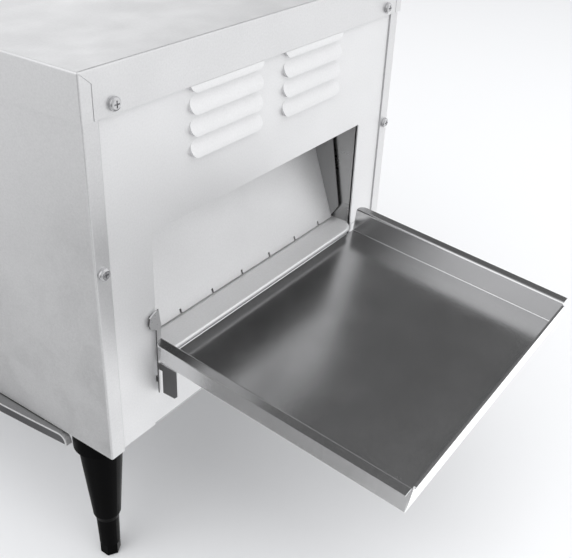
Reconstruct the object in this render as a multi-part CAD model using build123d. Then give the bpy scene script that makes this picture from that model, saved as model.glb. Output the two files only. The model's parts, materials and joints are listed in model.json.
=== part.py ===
from build123d import *
import math
import os

# Countertop conveyor oven. All sizes in millimetres.
# The part is drawn with x = 0 at the outer face of the exit end, y = 0 at the front face
# and z = 0 at the bottom edge of the side panels, then moved so that the feet stand on z = 0.

os.makedirs("parts", exist_ok=True)

# ---- body shell ----
BODY_L = 600.0
BODY_W = 365.0
LID_TOP = 283.0
SKIRT_Z = 252.5
PANEL_TOP = 281.0
SHEET = 1.2
LINER_SHEET = 1.0
FIT = 0.3
RETURN_W = 12.5
EDGE_R = 0.8
LID_EDGE_R = 1.4
LID_TAB_W = 8.5
LID_TAB_TOP = 274.5
SEAM_W = 0.7
SEAM_D = 0.5

# ---- exit end panel ----
OPEN_Y0 = 51.8
OPEN_Y1 = 315.0
EXIT_Z0 = 56.0
EXIT_Z1 = 162.5
EXIT_CORNER_R = 1.5
PANEL_FOOT = 1.5
PANEL_STEP_Z = 3.2
PANEL_STEP_Y = 46.0

# ---- louvres ----
LOUVRE_LEN = 78.0
LOUVRE_H = 12.6
LOUVRE_OUT = 3.4
LOUVRE_PITCH = 15.1
LOUVRE_ROWS = 4
LOUVRE_TOP_Z = 253.6
LOUVRE_Y = (130.3, 234.7)
LOUVRE_SKIN = 0.9
SEAM_GROOVE_W = 1.2
SEAM_GROOVE_D = 0.9

# ---- infeed end panel ----
INFEED_Z0 = 116.0
INFEED_Z1 = 228.0
INFEED_LOUVRE_ROWS = 1

# ---- legs ----
LEG_X = 35.4
LEG_Y = 20.5
LEG_FLANGE_R = 20.3
LEG_FLANGE_H = 15.5
LEG_FLANGE_SHOULDER = 2.5
LEG_TOP_R = 17.0
LEG_STEP_Z = 89.0
LEG_STEP_R = 11.1
LEG_NECK_Z = 94.5
LEG_NECK_R = 9.2
LEG_END_Z = 123.0
LEG_END_R = 8.4
LEG_STUD_R = 3.0
LEG_STUD_UP = 12.0
LEG_BORE_R = 4.4
LEG_BORE_DEPTH = 42.0
FOOT_Z = 135.0
FOOT_AF = 14.4
FOOT_GAP = 0.4
FOOT_STUD_R = 4.1
FOOT_STUD_LEN = 36.0
FOOT_CHAMFER = 0.8
NUT_AF = 10.0
NUT_H = 5.0

# ---- base pan and crumb tray ----
PAN_FLANGE_H = 14.0
PAN_OPEN_X = 86.0
PAN_OPEN_Y0 = 56.0
PAN_OPEN_Y1 = 309.0
CRUMB_X = 72.0
CRUMB_Y1 = 340.0
CRUMB_FLOOR = -10.4
CRUMB_TOP = -1.4
CRUMB_T = 1.0
LIP_X = 46.0
LIP_END_Y = -2.0
LIP_BOW = 11.4
LIP_R = 8.0
LIP_TOP = -0.9
LIP_BOTTOM = -10.4
LIP_T = 1.8
LIP_BACK = -0.4
LIP_RETURN = 2.4
GRIP_T = 2.0
GRIP_BACK = 0.5
RAIL_WEB_X = 66.5
RAIL_FOOT = 7.0
RAIL_DROP = 12.4
RAIL_START_Y = 3.2
RAIL_END_Y = 350.0

# ---- inner chamber ----
LINER_Y0 = 50.0
LINER_Y1 = 315.6
LINER_Z0 = 7.0
ROOF_Z = 248.0
BLANKET_TOP = 274.0
BLANKET_R = 8.0
LINER_FLANGE = 9.0

# ---- discharge chute ----
SLIDE_FOOT_X = -20.0
SLIDE_FOOT_Z = 65.0
SLIDE_TOP_Z = 172.0
SLIDE_RISE = 2.83
SLIDE_T = 1.0
SLIDE_LIFT = 1.4
SLIDE_Y0 = 54.7
SLIDE_Y1 = 311.9
GUSSET_T = 1.0
GUSSET_LUG = 16.0
GUSSET_FOOT_Z = 80.0
GUSSET_FOOT_X = -13.6
GUSSET_MID_Z = 143.7
GUSSET_MID_X = -25.0
GUSSET_TOP_X = -31.0
NOTCH_Y0 = 61.4
NOTCH_PITCH = 38.1
NOTCH_COUNT = 7
NOTCH_W = 2.0
NOTCH_H = 3.4
NOSE_X0 = -10.8
NOSE_X1 = 7.8
NOSE_Y0 = 53.6
NOSE_Y1 = 309.5
NOSE_TOP = 69.0
NOSE_T = 3.8
NOSE_CORNER_R = 15.0
NOSE_NEAR_R = 2.0
NOSE_EDGE_R = 1.8
LEDGE_X0 = -25.0
LEDGE_X1 = -4.0
LEDGE_T = 1.2
LEDGE_DROP = 24.0
LEDGE_DROP_X0 = -12.0

# ---- catch tray ----
TRAY_TILT = 6.0
TRAY_X = 3.0
TRAY_Z = 59.3
TRAY_LEN = 203.0
TRAY_Y0 = 50.0
TRAY_Y1 = 315.0
TRAY_WALL = 22.6
TRAY_T = 1.0
TRAY_FLANGE = 8.0
TRAY_FLANGE_R = 6.0
TRAY_FOLD_R = 1.0
TRAY_LIP_H = 21.6
TRAY_LIP_LEAN = 2.5
TRAY_LIP_CHAMFER = 2.0
TRAY_LIP_INSET = 1.4
TRAY_HEM = 1.8

# ---- tray hangers ----
HANGER_T = 1.2
HANGER_X0 = 0.4
HANGER_LEG_X0 = 3.6
HANGER_LEG_X1 = 17.6
HANGER_LEG_Z = 31.0
HANGER_WEB_Z0 = 51.0
HANGER_WEB_Z1 = 56.0
HANGER_CORNER = 3.0
NECK_Y0 = 49.4
NECK_Y1 = 53.4
NECK_Z0 = 31.0
EAR_Z0 = 87.0
EAR_Z1 = 103.0
EAR_Y_OUT = 42.4
EAR_Y_IN = 54.2
REAR_NECK_TOP = 58.0
REAR_TAB_Y0 = 47.5
REAR_TAB_Y1 = 57.5
REAR_TAB_Z0 = 57.0
REAR_TAB_Z1 = 65.5
TONGUE_IN = 4.0
TONGUE_LOW_Z = 40.0
TONGUE_HIGH_Z = 94.0
TONGUE_H = 5.0
TONGUE_Y_LOW = 49.8
TONGUE_Y_HIGH = 46.0
SLOT_FIT = 0.5

# ---- conveyor ----
DRIVE_X = -92.0
IDLER_X = -770.0
SHAFT_Z = 155.0
SHAFT_R = 4.0
BELT_R = 22.0
WIRE_R = 0.9
BELT_Y0 = 60.0
BELT_Y1 = 306.0
BELT_LINKS = 118
LINK_COUNT = 7
LINK_W = 3.0
LINK_T = 0.8
RAIL_Y_FRONT = 52.6
RAIL_Y_REAR = 312.4
RAIL_T = 1.6
RAIL_Z0 = 124.0
RAIL_Z1 = 190.0
RAIL_X_EXIT = -74.0
RAIL_X_INFEED = -797.0
RAIL_END_R = 20.0
RAIL_LIP = 3.4
BUSH_R = 7.0
BUSH_FLANGE_R = 9.5
BUSH_FLANGE_T = 1.2
BUSH_BORE = 4.05
SPROCKET_ROOT = 18.4
SPROCKET_TIP = 20.6
SPROCKET_TEETH = 11
SPROCKET_W = 5.0
SPROCKET_HUB_R = 9.0
SPROCKET_HUB_W = 14.0
SPROCKET_Y = (78.0, 130.5, 183.0, 235.5, 288.0)
SHAFT_BORE = 4.02
DRIVE_Y0 = 14.0
IDLER_Y0 = 50.6
SHAFT_Y1 = 315.4
SLIDER_Z = 171.6
SLIDER_R = 3.0
SLIDER_X = (-170.0, -290.0, -410.0, -530.0, -650.0, -730.0)

# ---- heaters ----
HEATER_R = 4.0
UPPER_HEATER_Z = 216.0
UPPER_HEATER_X = (-170.0, -240.0, -310.0, -380.0, -450.0, -520.0)
LOWER_HEATER_Z = 151.0
LOWER_HEATER_X = (-200.0, -300.0, -400.0, -500.0)
HEATER_HOLE_R = 4.6
HEATER_OUT = 9.0
CAP_R = 7.0
CAP_LEN = 12.0
CAP_BORE = 4.1
CAP_STUD_R = 1.5
CAP_STUD_LEN = 7.0
REFLECTOR_Z = 232.0
REFLECTOR_DROP = 12.0
REFLECTOR_X0 = -545.0
REFLECTOR_X1 = -145.0
REFLECTOR_Y0 = 54.0
REFLECTOR_Y1 = 312.0
REFLECTOR_SLOPE = 14.0

# ---- drive ----
MOTOR_X = -168.0
MOTOR_Z = 86.0
GEARBOX_X = 54.0
GEARBOX_Z = 62.0
GEARBOX_Y0 = 24.0
GEARBOX_Y1 = 46.0
GEARBOX_R = 7.0
MOTOR_CAN_R = 18.0
MOTOR_CAN_LEN = 74.0
MOTOR_CAN_Y = 27.0
MOTOR_CAN_DROP = 6.0
MOTOR_SHAFT_R = 4.0
MOTOR_SHAFT_Y0 = 9.0
CHAIN_Y = 17.5
CHAIN_W = 4.2
CHAIN_ROOT_DRIVE = 19.0
CHAIN_ROOT_MOTOR = 10.0
CHAIN_TEETH_DRIVE = 20
CHAIN_TEETH_MOTOR = 11
CHAIN_TOOTH = 1.6
CHAIN_PLATE_W = 2.2
CHAIN_GAP = 2.0
CHAIN_THICK = 3.4
BRACKET_Y0 = 46.4
BRACKET_T = 1.6

# ---- cooling fan ----
FAN_X = -470.0
FAN_Z = 118.0
FAN_SIZE = 92.0
FAN_DEPTH = 25.0
FAN_BORE_R = 43.0
FAN_HUB_R = 17.0
FAN_BLADES = 7
FAN_BLADE_R = 41.5
FAN_BLADE_T = 1.6
FAN_BLADE_PITCH = 40.0
FAN_ARM_ANGLES = (45.0, 135.0)
FAN_PIN_R = 2.0
FAN_ARM_W = 4.0
FAN_SCREW_IN = 5.0
FAN_CORNER_R = 5.0
GUARD_WIRE = 1.0
GUARD_RINGS = (12.0, 20.0, 28.0, 36.0, 44.0)

# ---- controls ----
BEZEL_X0 = -470.0
BEZEL_X1 = -190.0
BEZEL_Z0 = 86.0
BEZEL_Z1 = 190.0
BEZEL_T = 2.0
BEZEL_R = 8.0
KNOB_Z = 132.0
KNOB_X = (-415.0, -345.0, -275.0)
KNOB_R = 17.0
KNOB_H = 18.0
KNOB_SKIRT_R = 21.0
KNOB_SKIRT_H = 4.0
KNOB_FLUTES = 18
KNOB_FLUTE_R = 1.5
HALF_STEP = 0.5
KNOB_GAP = 0.6
KNOB_SHAFT_R = 3.0
KNOB_SHAFT_HOLE = 5.2
DIAL_BODY = 34.0
DIAL_DEPTH = 24.0
DIAL_R = 6.0
DIAL_SLEEVE_R = 4.8
ROCKER_X = -218.0
ROCKER_W = 19.0
ROCKER_H = 26.0
ROCKER_RIM = 2.4
ROCKER_DEPTH = 18.0
ROCKER_WALL = 1.6
ROCKER_PIN_R = 1.2
ROCKER_TILT = 10.0
LAMP_X = (-415.0, -275.0)
LAMP_Z = 171.0
LAMP_R = 5.0
LAMP_DEPTH = 14.0
LAMP_RIM_R = 7.0

# ---- back of the oven ----
GLAND_X = -545.0
GLAND_Z = 42.0
GLAND_R = 9.0
GLAND_NUT_AF = 24.0
GLAND_NUT_H = 6.0
GLAND_OUT = 13.0
GLAND_BORE = 4.5
TERMINAL_X = -545.0
TERMINAL_Z = 96.0
TERMINAL_L = 44.0
TERMINAL_H = 18.0
TERMINAL_D = 16.0
TERMINAL_WAYS = 4
VENT_W = 4.0
VENT_H = 34.0
VENT_PITCH = 10.0
VENT_COUNT = 9

# ---- screws ----
HEAD_R = 4.5
HEAD_H = 3.0
HEAD_ROUND = 0.6
SHANK_R = 2.0
SHANK_LEN = 8.0
CLEAR_R = 2.3
CROSS_L = 4.6
CROSS_W = 1.0
CROSS_D = 1.5
LID_SCREW_Y = (23.8, 341.2)
LID_SCREW_Z = 259.2
SIDE_SCREW_X = (-160.0, -440.0)
FLANGE_SCREW_Z = (152.5,)
FLANGE_SCREW_Y = 6.2
BEZEL_SCREW_IN = 8.0
SMALL_HEAD_R = 3.0
SMALL_HEAD_H = 2.0
SMALL_SHANK_R = 1.5
SMALL_SHANK_LEN = 7.0
SMALL_CLEAR_R = 1.8

# ---- place of the drawing in the row frame ----
SHIFT_X = 294.079
SHIFT_Y = -178.1
SHIFT_Z = FOOT_Z


def block(x0, x1, y0, y1, z0, z1):
    """Box between two corners."""
    centre = Pos((x0 + x1) / 2, (y0 + y1) / 2, (z0 + z1) / 2)
    return centre * Box(abs(x1 - x0), abs(y1 - y0), abs(z1 - z0))


def rod_x(y, z, r, x0, x1):
    """Round bar along x."""
    return Pos((x0 + x1) / 2, y, z) * Rot(0, 90, 0) * Cylinder(r, abs(x1 - x0))


def rod_y(x, z, r, y0, y1):
    """Round bar along y."""
    return Pos(x, (y0 + y1) / 2, z) * Rot(90, 0, 0) * Cylinder(r, abs(y1 - y0))


def rod_z(x, y, r, z0, z1):
    """Round bar along z."""
    return Pos(x, y, (z0 + z1) / 2) * Cylinder(r, abs(z1 - z0))


def side_plate(points, y0, y1):
    """Flat shape given in x and z, thick along y."""
    plane = Plane(origin=(0, y0, 0), x_dir=(1, 0, 0), z_dir=(0, -1, 0))
    outline = plane * make_face(Polyline(*points, close=True))
    return extrude(outline, amount=y1 - y0, dir=(0, 1, 0))


def end_plate(points, x0, x1):
    """Flat shape given in y and z, thick along x."""
    plane = Plane(origin=(x0, 0, 0), x_dir=(0, 1, 0), z_dir=(1, 0, 0))
    outline = plane * make_face(Polyline(*points, close=True))
    return extrude(outline, amount=x1 - x0, dir=(1, 0, 0))


def flat_plate(face, z0, z1):
    """Face in x and y, thick along z."""
    return extrude(Pos(0, 0, z0) * face, amount=z1 - z0, dir=(0, 0, 1))


def hex_bar(af, x, y, z0, z1):
    """Upright hexagon bar by its width across flats."""
    face = RegularPolygon(af / 2, 6, major_radius=False)
    return Pos(x, y, z0) * extrude(face, amount=z1 - z0)


def group(parts):
    """Separate solids kept together under one name."""
    return Compound(children=list(parts))


def save(name, part):
    """Write one named piece in the row frame."""
    export_step(Pos(SHIFT_X, SHIFT_Y, SHIFT_Z) * part, "parts/" + name + ".step")


def screw(head_r, head_h, shank_r, shank_len):
    """Pan-head screw pointing down -z, seat of the head on z = 0."""
    head = Cylinder(head_r, head_h, align=(Align.CENTER, Align.CENTER, Align.MIN))
    head = fillet(head.edges().group_by(Axis.Z)[-1], head_h * HEAD_ROUND)
    for turn in (0, 90):
        slot = Box(CROSS_L * head_r / HEAD_R, CROSS_W, CROSS_D)
        head -= Pos(0, 0, head_h - CROSS_D / 2) * Rot(0, 0, turn) * slot
    shank = Cylinder(shank_r, shank_len, align=(Align.CENTER, Align.CENTER, Align.MAX))
    return head + shank


PAN_SCREW = screw(HEAD_R, HEAD_H, SHANK_R, SHANK_LEN)
SMALL_SCREW = screw(SMALL_HEAD_R, SMALL_HEAD_H, SMALL_SHANK_R, SMALL_SHANK_LEN)
FACE_EXIT = Rot(0, 90, 0)
FACE_INFEED = Rot(0, -90, 0)
FACE_FRONT = Rot(90, 0, 0)
FACE_REAR = Rot(-90, 0, 0)

# ---------------------------------------------------------------- lid cover
LID_OUT = FIT + SHEET
lid = block(-BODY_L - LID_OUT, LID_OUT, -LID_OUT, BODY_W + LID_OUT, SKIRT_Z, LID_TOP)
upright = lid.edges().filter_by(Axis.Z)
top_edges = lid.edges().group_by(Axis.Z)[-1]
lid = fillet(upright + top_edges, LID_EDGE_R)
lid -= block(-BODY_L - FIT, FIT, -FIT, BODY_W + FIT, SKIRT_Z, LID_TOP - SHEET)


def tab_seam(x_face, y_tab, y_corner):
    """Thin seam round the corner tab folded onto an end skirt."""
    near = min(y_tab, y_tab + math.copysign(SEAM_W, y_corner - y_tab))
    upright_seam = block(x_face - SEAM_D, x_face + SEAM_D, near, near + SEAM_W, SKIRT_Z, LID_TAB_TOP)
    slant = math.copysign(SEAM_W, y_tab - y_corner)
    points = (
        (y_tab, LID_TAB_TOP),
        (y_tab - slant, LID_TAB_TOP),
        (y_corner - slant, LID_TOP - SHEET),
        (y_corner, LID_TOP - SHEET),
    )
    return upright_seam + end_plate(points, x_face - SEAM_D, x_face + SEAM_D)


for x_face in (LID_OUT, -BODY_L - LID_OUT):
    lid -= tab_seam(x_face, LID_TAB_W, 0.0)
    lid -= tab_seam(x_face, BODY_W - LID_TAB_W, BODY_W)
    for y_screw in LID_SCREW_Y:
        lid -= rod_x(y_screw, LID_SCREW_Z, CLEAR_R, x_face - LID_OUT - FIT, x_face + LID_OUT + FIT)
for x_screw in SIDE_SCREW_X:
    lid -= rod_y(x_screw, LID_SCREW_Z, CLEAR_R, -LID_OUT - FIT, FIT)
    lid -= rod_y(x_screw, LID_SCREW_Z, CLEAR_R, BODY_W - FIT, BODY_W + LID_OUT + FIT)
save("lid_cover", lid)


# ---------------------------------------------------------------- side panels
def side_panel():
    """Long side sheet with a return flange at each end, front one."""
    outer = block(-BODY_L, 0, 0, RETURN_W, 0, PANEL_TOP)
    outer = fillet(outer.edges().filter_by(Axis.Z).group_by(Axis.Y)[0], EDGE_R + SHEET / 2)
    inner = block(-BODY_L + SHEET, -SHEET, SHEET, RETURN_W + FIT, -FIT, PANEL_TOP + FIT)
    panel = outer - inner
    for z_screw in FLANGE_SCREW_Z:
        panel -= rod_x(FLANGE_SCREW_Y, z_screw, CLEAR_R, -BODY_L - FIT, FIT)
    for x_screw in SIDE_SCREW_X:
        panel -= rod_y(x_screw, LID_SCREW_Z, CLEAR_R, -FIT, SHEET + FIT)
    return panel


front_panel = side_panel()
for x_knob in KNOB_X:
    front_panel -= rod_y(x_knob, KNOB_Z, KNOB_SHAFT_HOLE, -FIT, SHEET + FIT)
for x_lamp in LAMP_X:
    front_panel -= rod_y(x_lamp, LAMP_Z, LAMP_R + FIT, -FIT, SHEET + FIT)
rocker_hole = block(
    ROCKER_X - ROCKER_W / 2 - FIT,
    ROCKER_X + ROCKER_W / 2 + FIT,
    -BEZEL_T - FIT,
    SHEET + FIT,
    KNOB_Z - ROCKER_H / 2 - FIT,
    KNOB_Z + ROCKER_H / 2 + FIT,
)
front_panel -= rocker_hole
BEZEL_SCREWS = (
    (BEZEL_X0 + BEZEL_SCREW_IN, BEZEL_Z0 + BEZEL_SCREW_IN),
    (BEZEL_X0 + BEZEL_SCREW_IN, BEZEL_Z1 - BEZEL_SCREW_IN),
    (BEZEL_X1 - BEZEL_SCREW_IN, BEZEL_Z0 + BEZEL_SCREW_IN),
    (BEZEL_X1 - BEZEL_SCREW_IN, BEZEL_Z1 - BEZEL_SCREW_IN),
)
for x_screw, z_screw in BEZEL_SCREWS:
    front_panel -= rod_y(x_screw, z_screw, SMALL_CLEAR_R, -FIT, SHEET + FIT)
save("front_panel", front_panel)

rear_panel = Pos(-BODY_L, BODY_W, 0) * Rot(0, 0, 180) * side_panel()
rear_panel -= rod_y(FAN_X, FAN_Z, FAN_BORE_R, BODY_W - SHEET - FIT, BODY_W + FIT)
FAN_PITCH = FAN_SIZE / 2 - FAN_SCREW_IN
FAN_SCREWS = []
for side_x in (-FAN_PITCH, FAN_PITCH):
    for side_z in (-FAN_PITCH, FAN_PITCH):
        FAN_SCREWS.append((FAN_X + side_x, FAN_Z + side_z))
for x_screw, z_screw in FAN_SCREWS:
    rear_panel -= rod_y(x_screw, z_screw, SMALL_CLEAR_R, BODY_W - SHEET - FIT, BODY_W + FIT)
rear_panel -= rod_y(GLAND_X, GLAND_Z, GLAND_R + FIT, BODY_W - SHEET - FIT, BODY_W + FIT)
for count in range(VENT_COUNT):
    x_vent = SIDE_SCREW_X[0] - (count - VENT_COUNT // 2) * VENT_PITCH
    rear_panel -= block(
        x_vent - VENT_W / 2,
        x_vent + VENT_W / 2,
        BODY_W - SHEET - FIT,
        BODY_W + FIT,
        FAN_Z - VENT_H / 2,
        FAN_Z + VENT_H / 2,
    )
save("rear_panel", rear_panel)


# ---------------------------------------------------------------- louvres and end panels
def scoop(grow, reach):
    """Solid pressed louvre form on the plane x = 0, swelling to +x towards its lower edge."""
    half = LOUVRE_LEN / 2 - LOUVRE_H / 2 + grow
    high = LOUVRE_H / 2 + grow
    plan = SlotCenterToCenter(2 * half, 2 * high)
    plane = Plane(origin=(0, 0, 0), x_dir=(0, 1, 0), z_dir=(1, 0, 0))
    prism = extrude(plane * plan, amount=LOUVRE_OUT * 2, dir=(1, 0, 0))
    top = high + LOUVRE_SKIN / 2
    low = -high - FIT
    side = Plane(origin=(0, -LOUVRE_LEN, 0), x_dir=(1, 0, 0), z_dir=(0, -1, 0))
    swell = Spline((0, top), (reach, low), tangents=((0, -1), (0, -1)))
    under = Line((reach, low), (-FIT, low))
    back = Line((-FIT, low), (-FIT, top))
    close = Line((-FIT, top), (0, top))
    profile = side * make_face(Wire([swell, under, back, close]))
    return prism & extrude(profile, amount=2 * LOUVRE_LEN, dir=(0, 1, 0))


scoop_out = scoop(0.0, LOUVRE_OUT)
scoop_in = scoop(-LOUVRE_SKIN, LOUVRE_OUT - LOUVRE_SKIN)
MOUTH_HALF = LOUVRE_LEN / 2 - LOUVRE_H / 2
hood = scoop_out - scoop_in
mouth_top = -LOUVRE_H / 2 + 2 * LOUVRE_SKIN
hood -= block(FIT, LOUVRE_OUT - LOUVRE_SKIN, -MOUTH_HALF, MOUTH_HALF, -LOUVRE_H, mouth_top)
slot_hole = block(
    -SHEET * 2,
    SHEET * 2,
    -MOUTH_HALF,
    MOUTH_HALF,
    -LOUVRE_H / 2 + LOUVRE_SKIN,
    LOUVRE_H / 2 - LOUVRE_SKIN * 2,
)
# The first row is pressed right up against the lid skirt and is closed by a flat top there.
TOP_CUT = SKIRT_Z - FIT - LOUVRE_TOP_Z
below_skirt = block(-LOUVRE_H, LOUVRE_H, -LOUVRE_LEN, LOUVRE_LEN, -LOUVRE_H, TOP_CUT)
closing = block(0, LOUVRE_H, -LOUVRE_LEN, LOUVRE_LEN, TOP_CUT - LOUVRE_SKIN, TOP_CUT)
top_hood = (hood & below_skirt) + (scoop_out & closing)
top_hole = slot_hole & block(-LOUVRE_H, LOUVRE_H, -LOUVRE_LEN, LOUVRE_LEN, -LOUVRE_H, TOP_CUT - LOUVRE_SKIN)


def end_panel(rows):
    """End sheet with two columns of louvres, outer face on x = 0, looking to +x."""
    sheet = block(-SHEET, 0, SHEET + FIT, BODY_W - SHEET - FIT, PANEL_FOOT, PANEL_TOP)
    sheet -= block(-SHEET - FIT, FIT, PANEL_STEP_Y, BODY_W - PANEL_STEP_Y, 0, PANEL_STEP_Z)
    for y_groove in (RETURN_W, BODY_W - RETURN_W - SEAM_GROOVE_W):
        sheet -= block(-SEAM_GROOVE_D, FIT, y_groove, y_groove + SEAM_GROOVE_W, 0, PANEL_TOP)
    for y_louvre in LOUVRE_Y:
        for row in range(rows):
            spot = Pos(0, y_louvre, LOUVRE_TOP_Z - row * LOUVRE_PITCH)
            sheet -= spot * (slot_hole if row else top_hole)
            sheet += spot * (hood if row else top_hood)
    for y_screw in LID_SCREW_Y:
        sheet -= rod_x(y_screw, LID_SCREW_Z, CLEAR_R, -SHEET - FIT, FIT)
    for z_screw in FLANGE_SCREW_Z:
        sheet -= rod_x(FLANGE_SCREW_Y, z_screw, CLEAR_R, -SHEET - FIT, FIT)
        sheet -= rod_x(BODY_W - FLANGE_SCREW_Y, z_screw, CLEAR_R, -SHEET - FIT, FIT)
    return sheet


exit_panel = end_panel(LOUVRE_ROWS)
exit_cut = block(-SHEET - FIT, FIT, OPEN_Y0, OPEN_Y1, EXIT_Z0, EXIT_Z1)
exit_cut = fillet(exit_cut.edges().filter_by(Axis.X), EXIT_CORNER_R)
exit_panel -= exit_cut


def mirror_y(y):
    """Matching position on the other side of the oven."""
    return BODY_W - y


TONGUE_SLOTS = (
    (TONGUE_Y_LOW, TONGUE_LOW_Z),
    (TONGUE_Y_HIGH, TONGUE_HIGH_Z),
    (mirror_y(TONGUE_Y_LOW + HANGER_T), TONGUE_LOW_Z),
)
for y_slot, z_slot in TONGUE_SLOTS:
    exit_panel -= block(
        -SHEET - FIT,
        FIT,
        y_slot - SLOT_FIT,
        y_slot + HANGER_T + SLOT_FIT,
        z_slot - SLOT_FIT,
        z_slot + TONGUE_H + SLOT_FIT,
    )
save("exit_end_panel", Pos(-SHEET, 0, 0) * exit_panel)

infeed_panel = end_panel(INFEED_LOUVRE_ROWS)
infeed_cut = block(-SHEET - FIT, FIT, mirror_y(OPEN_Y1), mirror_y(OPEN_Y0), INFEED_Z0, INFEED_Z1)
infeed_cut = fillet(infeed_cut.edges().filter_by(Axis.X), EXIT_CORNER_R)
infeed_panel -= infeed_cut
save("infeed_end_panel", Pos(-BODY_L + SHEET, BODY_W, 0) * Rot(0, 0, 180) * infeed_panel)

# ---------------------------------------------------------------- base pan
PAN_X0 = -BODY_L + 2 * SHEET + FIT
PAN_X1 = -2 * SHEET - FIT
PAN_Y0 = SHEET + FIT
PAN_Y1 = BODY_W - SHEET - FIT
pan = block(PAN_X0, PAN_X1, PAN_Y0, PAN_Y1, 0, PAN_FLANGE_H)
pan -= block(
    PAN_X0 + SHEET,
    PAN_X1 - SHEET,
    PAN_Y0 + SHEET,
    PAN_Y1 - SHEET,
    SHEET,
    PAN_FLANGE_H + FIT,
)
pan -= block(-BODY_L + PAN_OPEN_X, -PAN_OPEN_X, PAN_OPEN_Y0, PAN_OPEN_Y1, -FIT, SHEET + FIT)
LEG_SPOTS = []
for x_leg in (-LEG_X, -BODY_L + LEG_X):
    for y_leg in (LEG_Y, BODY_W - LEG_Y):
        LEG_SPOTS.append((x_leg, y_leg))
for x_leg, y_leg in LEG_SPOTS:
    pan -= rod_z(x_leg, y_leg, LEG_STUD_R + FIT, -FIT, SHEET + FIT)
for count in range(VENT_COUNT):
    x_vent = MOTOR_X - (count - VENT_COUNT // 2) * VENT_PITCH
    pan -= block(
        x_vent - VENT_W / 2,
        x_vent + VENT_W / 2,
        PAN_Y0 + VENT_PITCH,
        PAN_Y0 + VENT_PITCH + VENT_H / 2,
        -FIT,
        SHEET + FIT,
    )
for z_screw in FLANGE_SCREW_Z:
    for y_screw in (FLANGE_SCREW_Y, BODY_W - FLANGE_SCREW_Y):
        pan -= rod_x(y_screw, z_screw, CLEAR_R, PAN_X0 - FIT, PAN_X1 + FIT)
save("base_pan", pan)


def tray_rail(x_web, inward):
    """Angle strip the crumb tray runs on."""
    x_far = x_web + inward * SHEET
    x_toe = x_web + inward * RAIL_FOOT
    web = block(x_web, x_far, RAIL_START_Y, RAIL_END_Y, -RAIL_DROP, 0)
    toe = block(x_web, x_toe, RAIL_START_Y, RAIL_END_Y, -RAIL_DROP, -RAIL_DROP + SHEET)
    return web + toe


rails = [tray_rail(-RAIL_WEB_X, -1), tray_rail(-BODY_L + RAIL_WEB_X, 1)]
save("crumb_tray_rails", group(rails))

# ---------------------------------------------------------------- crumb tray
crumb = block(-BODY_L + CRUMB_X, -CRUMB_X, CRUMB_T, CRUMB_Y1, CRUMB_FLOOR, CRUMB_TOP)
crumb -= block(
    -BODY_L + CRUMB_X + CRUMB_T,
    -CRUMB_X - CRUMB_T,
    2 * CRUMB_T,
    CRUMB_Y1 - CRUMB_T,
    CRUMB_FLOOR + CRUMB_T,
    CRUMB_TOP + FIT,
)


def bowed_face(inset, y_back):
    """Bowed front lip outline seen from above, running on past both ends of the lip."""
    start = (-LIP_X + LIP_R, LIP_END_Y + inset)
    end = (-BODY_L + LIP_X - LIP_R, LIP_END_Y + inset)
    middle = (-BODY_L / 2, LIP_END_Y - LIP_BOW + inset)
    bow = ThreePointArc(start, middle, end)
    left = Line(end, (end[0], y_back))
    back = Line((end[0], y_back), (start[0], y_back))
    right = Line((start[0], y_back), start)
    return make_face(Wire([bow, left, back, right]))


def lip_bar(inset, y_back):
    """Bar behind the front lip outline, rounded at both upper corners."""
    bar = block(
        -BODY_L + LIP_X + inset,
        -LIP_X - inset,
        -2 * LIP_BOW,
        y_back,
        LIP_BOTTOM,
        LIP_TOP - inset,
    )
    return fillet(bar.edges().filter_by(Axis.Y).group_by(Axis.Z)[-1], LIP_R - inset)


rim = lip_bar(0, LIP_RETURN) & flat_plate(bowed_face(0, LIP_RETURN), LIP_BOTTOM, LIP_TOP)
rim -= lip_bar(LIP_T, LIP_RETURN)
rim -= block(-BODY_L + CRUMB_X - FIT, -CRUMB_X + FIT, LIP_BACK, LIP_RETURN, LIP_BOTTOM, LIP_TOP)
rim += block(
    -BODY_L + CRUMB_X + CRUMB_T,
    -CRUMB_X - CRUMB_T,
    LIP_BACK - CRUMB_T,
    2 * CRUMB_T,
    LIP_TOP - LIP_T,
    LIP_TOP - CRUMB_T / 2,
)
save("crumb_tray", crumb + rim)

grip = lip_bar(LIP_T, LIP_BACK) & flat_plate(bowed_face(GRIP_BACK, LIP_BACK), LIP_BOTTOM, LIP_TOP)
grip -= block(
    -BODY_L + 2 * CRUMB_X,
    -2 * CRUMB_X,
    LIP_END_Y - LIP_BOW / 2 + GRIP_T,
    LIP_BACK - GRIP_T,
    LIP_BOTTOM - FIT,
    LIP_TOP - LIP_T - GRIP_T,
)
save("crumb_tray_grip", grip)

# ---------------------------------------------------------------- inner chamber
LINER_X0 = PAN_X0 + SHEET + FIT
LINER_X1 = PAN_X1 - SHEET - FIT


def chamber_liner(y_sheet, y_edge):
    """Chamber side sheet with its top edge turned out to y_edge."""
    sheet = block(LINER_X0, LINER_X1, y_sheet, y_sheet + LINER_SHEET, LINER_Z0, ROOF_Z)
    sheet += block(LINER_X0, LINER_X1, y_sheet, y_edge, ROOF_Z - LINER_SHEET, ROOF_Z)
    for x_heater in UPPER_HEATER_X:
        sheet -= rod_y(x_heater, UPPER_HEATER_Z, HEATER_HOLE_R, y_sheet - FIT, y_sheet + LINER_SHEET + FIT)
    for x_heater in LOWER_HEATER_X:
        sheet -= rod_y(x_heater, LOWER_HEATER_Z, HEATER_HOLE_R, y_sheet - FIT, y_sheet + LINER_SHEET + FIT)
    return sheet


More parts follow.
